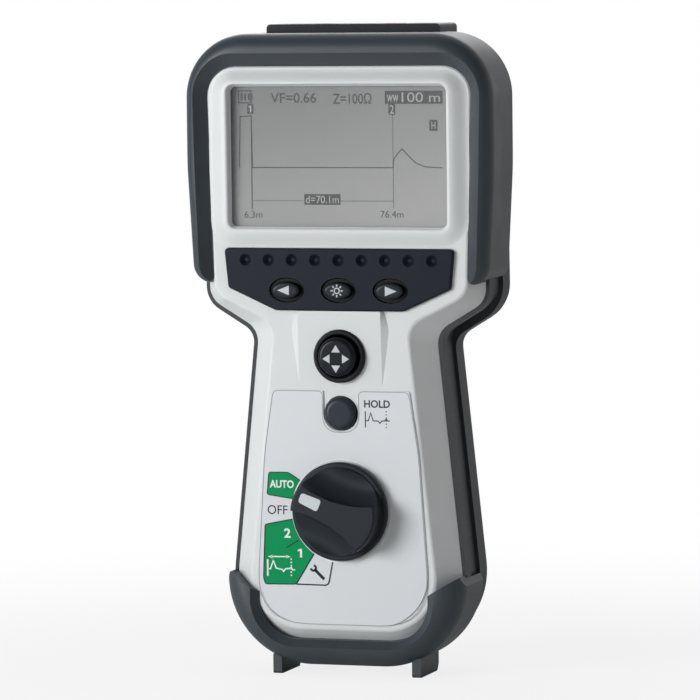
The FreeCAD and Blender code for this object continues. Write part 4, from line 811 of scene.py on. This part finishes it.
# %% Flanks
GROUND_HALF, GROUND_FOOT, GROUND_HEAD, GROUND_RISE = 15.3, 103.1, 129.6, 1.7
LEAF_WIDTH, LEAF_TUCK = 3.6, 0.3
LEAF_STEPS, LEAF_START = 25, 0.02
NARROW_FROM, NARROW_BY = 0.7, 0.8


def flank(side):
    """Rows of a triangle: the top edge on the raised ground, the outer foot and the inner foot.
    Width = a little less than even growth, cut by a power of the way past where it narrows."""
    up = np.linspace(LEAF_START, 1, LEAF_STEPS)
    narrowed = np.clip((up - NARROW_FROM) / (1 - NARROW_FROM), 0, 1) ** 1.5
    width = LEAF_WIDTH * up ** 0.9 * (1 - NARROW_BY * narrowed)
    height = GROUND_FOOT + up * (GROUND_HEAD - GROUND_FOOT)
    edge, foot = np.full_like(up, GROUND_HALF), np.full_like(up, white_face + SINK)
    corners = [(edge, white_face - GROUND_RISE * up), (edge + width, foot),
               (edge - LEAF_TUCK, foot)]
    rows = np.stack([np.stack([side * x, y, height], -1) for x, y in corners], 1)
    rows = rows if side > 0 else rows[:, ::-1]
    count = len(rows)
    ends = [[2, 1, 0], [3 * count - 3, 3 * count - 2, 3 * count - 1]]
    return rows.reshape(-1, 3), grid_faces(count, 3).tolist() + ends


piece("ground_flanks", [flank(-1), flank(1)], finishes["white_case"], "case")

# %% [markdown]
# ## Painted shade at the edge of the label
# A die cuts the label from its sheet. The shade in the gap round its edge is painted: a thin grey
# line with round corners, one stroke round the label's own outline, a little way in. The notch
# for the hold button is part of the same outline. Each corner is given across, upward and with
# its own radius, for the right half only, and the left half is its mirror.

# %% Painted shade at the label's edge
GAP_SHADE_LINE = 0.22
right_edge = np.array([(6.7, 86.8, 6.2), (6.7, 101.3, 1.8), (25.05, 101.3, 2.0),
                       (28.45, 79.0, 5.1), (32.3, 18.6, 19.0)])
whole_edge = np.concatenate([right_edge * (-1, 1, 1), right_edge[::-1]])
gap_shade_path = rounded(whole_edge[:, :2], whole_edge[:, 2:], 9)
label_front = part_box("label_plate")[0][1] / MM
# The stroke is painted shade of the gap round the label.
piece("label_gap_shade", [stroke(gap_shade_path, GAP_SHADE_LINE, label_front, closed=True)],
      label_gap_shade_ink, "case")

# %% [markdown]
# ## Marks round the selector
# The knob's pointer chooses a place on the label: automatic, off, two ranges, and a set-up page.
# Two green fields and the set-up cell end on the knob's circle, which a thin pale ring marks on
# the label. They could be traced by eye, but an edge of each field is an arc about the selector's
# middle, so it is worked out and meets the ring exactly.

# %% Selector fields
on_field = label_front - INK_COAT
SELECTOR = (0.0, 59.0)
RING = 18.3

auto_field = rounded([(-27.0, 72.2), (-27.7, 64.3), *arc(SELECTOR, RING, 167.6, 145.5, 7),
                      (-19.8, 72.3)], 0.8)
range_field = rounded([(-28.6, 53.6), (-29.4, 34.6), (-28.7, 32.4), (-17.2, 32.6),
                       *arc(SELECTOR, RING, 235.9, 190.2, 12)], 0.8)
piece("selector_fields", [plate(auto_field, label_front), plate(range_field, label_front)],
      green_ink, "case")
piece("selector_ring", [stroke(arc(SELECTOR, RING, 0, 360, 97)[:-1], 0.5, on_field - INK_COAT,
                               closed=True)], white_ink, "case")

# %% [markdown]
# ## Signs of the selector
# Each field has a thin dark outline, which is a stroke along the same points. On the fields are
# words, range numbers and a small drawing of an echo between two arrows, and the set-up cell has a
# spanner. Drawings are strokes and small plates, because no font has such signs.

# %% Selector signs
cell_corner = [(-3.5, 41.3), (-4.9, 34.0), (-5.3, 33.0), (-6.2, 32.5), (-17.2, 32.6)]
jaw = (-10.8, 38.5)
piece("selector_dark_marks", [
    stroke(auto_field, 0.35, on_field, closed=True),
    stroke(range_field, 0.4, on_field, closed=True),
    stroke(cell_corner, 0.5, label_front),
    stroke([(-20.8, 45.4), (-16.1, 48.3)], 0.4, on_field),
    lettering("OFF", (-27.6, 57.3, -20.2, 60.5), label_front),
    stroke(arc(jaw, 0.95, 190, 440, 16), 0.8, label_front),
    stroke([(-10.2, 37.9), (-6.8, 34.6)], 1.1, label_front)], dark_ink, "case")

trace = [(-27.8, 37.8), (-26.8, 37.8), (-25.7, 40.8), (-24.6, 38.1), (-22.4, 37.7), (-21.9, 37.0),
         (-21.1, 38.0), (-19.7, 38.1), (-19.0, 38.5), (-18.5, 37.6), (-17.6, 37.7)]
piece("selector_white_marks", [
    lettering("AUTO", (-26.7, 66.7, -17.7, 69.5), on_field, 0.03),
    lettering("2", (-21.5, 49.0, -19.1, 52.4), on_field, 0.03),
    plate(bar(-15.7, 42.1, -14.9, 45.2), on_field),
    plate([(-16.5, 44.2), (-15.7, 44.5), (-15.7, 45.2), (-16.5, 44.8)], on_field),
    stroke([(-26.6, 42.2), (-20.4, 42.3)], 0.45, on_field),
    plate([(-27.7, 42.2), (-26.0, 41.6), (-26.0, 42.8)], on_field),
    plate([(-19.2, 42.3), (-20.9, 42.9), (-20.9, 41.7)], on_field),
    stroke([(-27.8, 41.2), (-27.8, 35.3)], 0.6, on_field),
    stroke(trace, 0.45, on_field)]
    + dotted((-19.0, 41.4), (-19.0, 35.7), 6, 0.5, on_field),
    white_ink, "case")

# %% [markdown]
# ## The pointer
# A white insert in the knob's grip shows where it points. It narrows outwards, a little above the
# middle of the grip, on a thin black bed that runs out to the rim. Both could be let into the knob,
# but that is a solid of the frame and stays as it is, so they are plates with round corners, turned
# to the knob's place of rest.

# %% Pointer
POINTER_TURN = 157.5
POINTER = [(5.4, -3.0), (13.1, -2.6), (13.1, 1.0), (5.4, 1.4)]
POINTER_BED = bar(6.6, -2.3, 14.2, 2.3)
POINTER_CORNER, BED_CORNER = 1.1, 0.8


def turned_by(points, degrees):
    """Points turned anticlockwise about the origin."""
    a = np.radians(degrees)
    return points @ np.array([[np.cos(a), np.sin(a)], [-np.sin(a), np.cos(a)]])


pointer_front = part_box("knob_pointer")[0][1] / MM
pointer = piece("pointer_insert", [
    plate(turned_by(rounded(POINTER, POINTER_CORNER), POINTER_TURN) + SELECTOR,
          pointer_front - INK_COAT)], finishes["pointer_white"], "selector")
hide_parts("knob_pointer")
piece("pointer_bed", [
    plate(turned_by(rounded(POINTER_BED, BED_CORNER), POINTER_TURN) + SELECTOR, pointer_front)],
    finishes["knob_black"], "selector")

# %% [markdown]
# ## Marks at the hold button
# Beside the button are its name and the small trace that it freezes: an axis, a sharp echo, a dip,
# and a dotted cursor. The trace could be a row of short bars, but as one stroke it has no gaps.

# %% Hold marks
hold_trace = [(9.1, 91.1), (10.2, 91.1), (11.1, 93.9), (12.0, 91.1), (13.6, 91.1), (14.5, 90.3),
              (15.2, 91.1), (16.2, 91.1), (16.8, 91.9), (17.4, 91.1), (18.1, 91.1)]
piece("hold_marks", [
    lettering("HOLD", (8.7, 95.7, 18.2, 98.4), label_front, 0.02),
    stroke([(9.1, 94.4), (9.1, 88.7)], 0.35, label_front),
    stroke(hold_trace, 0.35, label_front)]
    + dotted((16.8, 94.4), (16.8, 88.9), 6, 0.4, label_front),
    dark_ink, "case")

# %% [markdown]
# ## The readout
# The display is drawn as the instrument would show it: a battery sign, the settings along the
# top, the echo of a cable with its two cursors, and the distances below. A picture on the glass
# would blur when seen close. Dark dots make every line, so lines are strokes one dot wide, and
# dotted ones are rows of squares. Light letters on a dark bar lie one coat of ink higher.

# %% Readout
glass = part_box("lcd_panel")[0][1] / MM
DOT = 0.38
over_glass = glass - INK_COAT

pulse = [(-37.3, 179.8), (-36.8, 197.8), (-32.7, 198.1), (-32.4, 179.9), (19.6, 179.9),
         (19.8, 182.7), (21.4, 185.0), (23.0, 186.5), (25.2, 184.1), (27.8, 181.6),
         (31.4, 180.2), (37.6, 179.9)]
battery = bar(-37.3, 202.7, -32.7, 206.9)
cells = [plate(bar(x, 203.5, x + 0.8, 206.1), glass) for x in (-36.5, -35.2, -33.9)]
readout = [
    stroke(pulse, DOT, glass),
    stroke(battery, 1.3 * DOT, glass, closed=True), plate(bar(-32.6, 204.0, -32.0, 205.6), glass),
    lettering("VF=0.66", (-25.4, 202.6, -8.4, 206.2), glass, 0.015),
    lettering("Z=100Ω", (-2.4, 202.2, 11.9, 206.1), glass, 0.015),
    plate(bar(16.8, 202.2, 37.9, 206.8), glass),
    plate(bar(-34.1, 198.8, -31.8, 202.3), glass), plate(bar(18.1, 198.4, 20.6, 202.2), glass),
    stroke([(-32.7, 198.4), (-32.7, 165.3)], DOT, glass),
    plate(bar(33.0, 192.8, 36.0, 196.6), glass), plate(bar(-13.3, 166.8, 0.1, 170.6), glass),
    lettering("6.3m", (-35.6, 162.1, -28.9, 164.5), glass),
    lettering("76.4m", (14.8, 162.4, 23.2, 164.8), glass)]
piece("readout_lines", readout + cells
      + dotted((19.6, 198.2), (19.6, 166.2), 48, DOT, glass)
      + dotted((-32.7, 168.2), (19.3, 168.2), 70, DOT, glass),
      readout_ink, "case")

clear_dots = ink("clear_dots", "B2B2AF", 0.36)
piece("readout_reversed", [
    lettering("100 m", (23.0, 202.8, 37.0, 206.2), over_glass),
    lettering("ww", (17.6, 202.9, 21.8, 205.4), over_glass),
    plate(bar(-33.1, 199.4, -32.6, 201.7), over_glass),
    plate([(-33.6, 201.0), (-33.1, 201.2), (-33.1, 201.7), (-33.6, 201.4)], over_glass),
    lettering("2", (18.6, 198.8, 20.1, 201.8), over_glass),
    lettering("H", (33.8, 193.4, 35.2, 196.0), over_glass),
    lettering("d=70.1m", (-12.7, 167.4, -0.5, 170.0), over_glass)],
    clear_dots, "case")

# %% [markdown]
# ## Signs on the keys
# Three keys under the display carry an arrow each way and a lamp, and the round pad has four
# arrows. The signs could be masks in the keys' material, but as thin plates they keep sharp edges.
# Each is printed on a key that moves, so it rides on that key's own body, and it is placed from the
# key's own box.

# %% Key signs
def middle_of(node):
    """A node's middle across and upward, and the depth of its front, in mm."""
    near, far = (np.array(corner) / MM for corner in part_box(node))
    return (near + far)[[0, 2]] / 2, near[1]


ARROW = np.array([[-2.2, 0.0], [2.1, -1.7], [2.1, 1.7]])
LAMP_RAY = np.array([[1.45, 0.0], [2.25, 0.0]])

for name, body, shift, turn in (("key_left", "left_key", -0.7, 0),
                                ("key_right", "right_key", 0.7, 180)):
    middle, front = middle_of(name)
    piece(name + "_arrow", [plate(turned_by(ARROW, turn) + middle + (shift, 0), front)],
          icon_ink, body)

middle, front = middle_of("key_backlight")
rays = [stroke(turned_by(LAMP_RAY, angle) + middle, 0.45, front) for angle in range(0, 360, 45)]
bulb = stroke(arc(middle, 0.95, 0, 360, 17)[:-1], 0.4, front, closed=True)
piece("key_backlight_lamp", rays + [bulb], icon_ink, "backlight_key")

PAD_ARROW = np.array([[4.9, 0.0], [2.3, 1.6], [2.3, -1.6]])
middle, front = middle_of("nav_pad")
piece("nav_pad_arrows", [plate(turned_by(PAD_ARROW, angle) + middle + (0, -0.6), front)
                         for angle in (0, 90, 180, 270)],
      icon_ink, "cursor_pad")

# %% [markdown]
# ## Painted shade in the drive recesses of the screws
# Each screw on the back has a cross recess for the driver. The recess is not cut: thin near-black
# strokes, painted shade, are laid on the heads in its place, because a pressed recess is little
# over half a millimetre wide. Where the heads are is read from the screws' own points: those on
# the rear plane, parted left from right and then wherever the height jumps.

# %% Screw crosses
HEAD_GAP = 6.0
CROSS_LENGTH, CROSS_WIDTH, CROSS_TURN = 3.0, 0.65, 20


def screw_heads(node):
    """The middle of each head across and upward, and the depth of the rear plane, in mm."""
    mesh = frame["nodes"][node].data
    points = np.empty(len(mesh.vertices) * 3)
    mesh.vertices.foreach_get("co", points)
    points = points.reshape(-1, 3) / MM
    rear = points[:, 1].max()
    rim = points[points[:, 1] > rear - SINK]
    rim = rim[np.argsort(rim[:, 2])]
    heads = []
    for side in (rim[rim[:, 0] < 0], rim[rim[:, 0] > 0]):
        groups = np.split(side, np.flatnonzero(np.diff(side[:, 2]) > HEAD_GAP) + 1)
        heads += [(group.min(0) + group.max(0))[[0, 2]] / 2 for group in groups]
    return heads, rear


def facing_rear(shape):
    """A shape turned to face the rear: its depth changes sign, and so each face runs backwards."""
    points, faces = shape
    return points * (1, -1, 1), [face[::-1] for face in faces]


crosses = []
for node in ("case_screws", "cover_screws"):
    heads, rear = screw_heads(node)
    for middle in heads:
        arms = [turned_by(np.array([[-0.5, 0.0], [0.5, 0.0]]) * CROSS_LENGTH, angle) + middle
                for angle in (CROSS_TURN, CROSS_TURN + 90)]
        crosses += [facing_rear(stroke(arm, CROSS_WIDTH, -rear, INK_COAT * (1 + turn)))
                    for turn, arm in enumerate(arms)]
# The crosses are near-black painted shade of the recesses.
piece("screw_crosses", crosses, painted_shade_black, "case")

# %% [markdown]
# ## The end
# Dressing must not make the instrument larger.
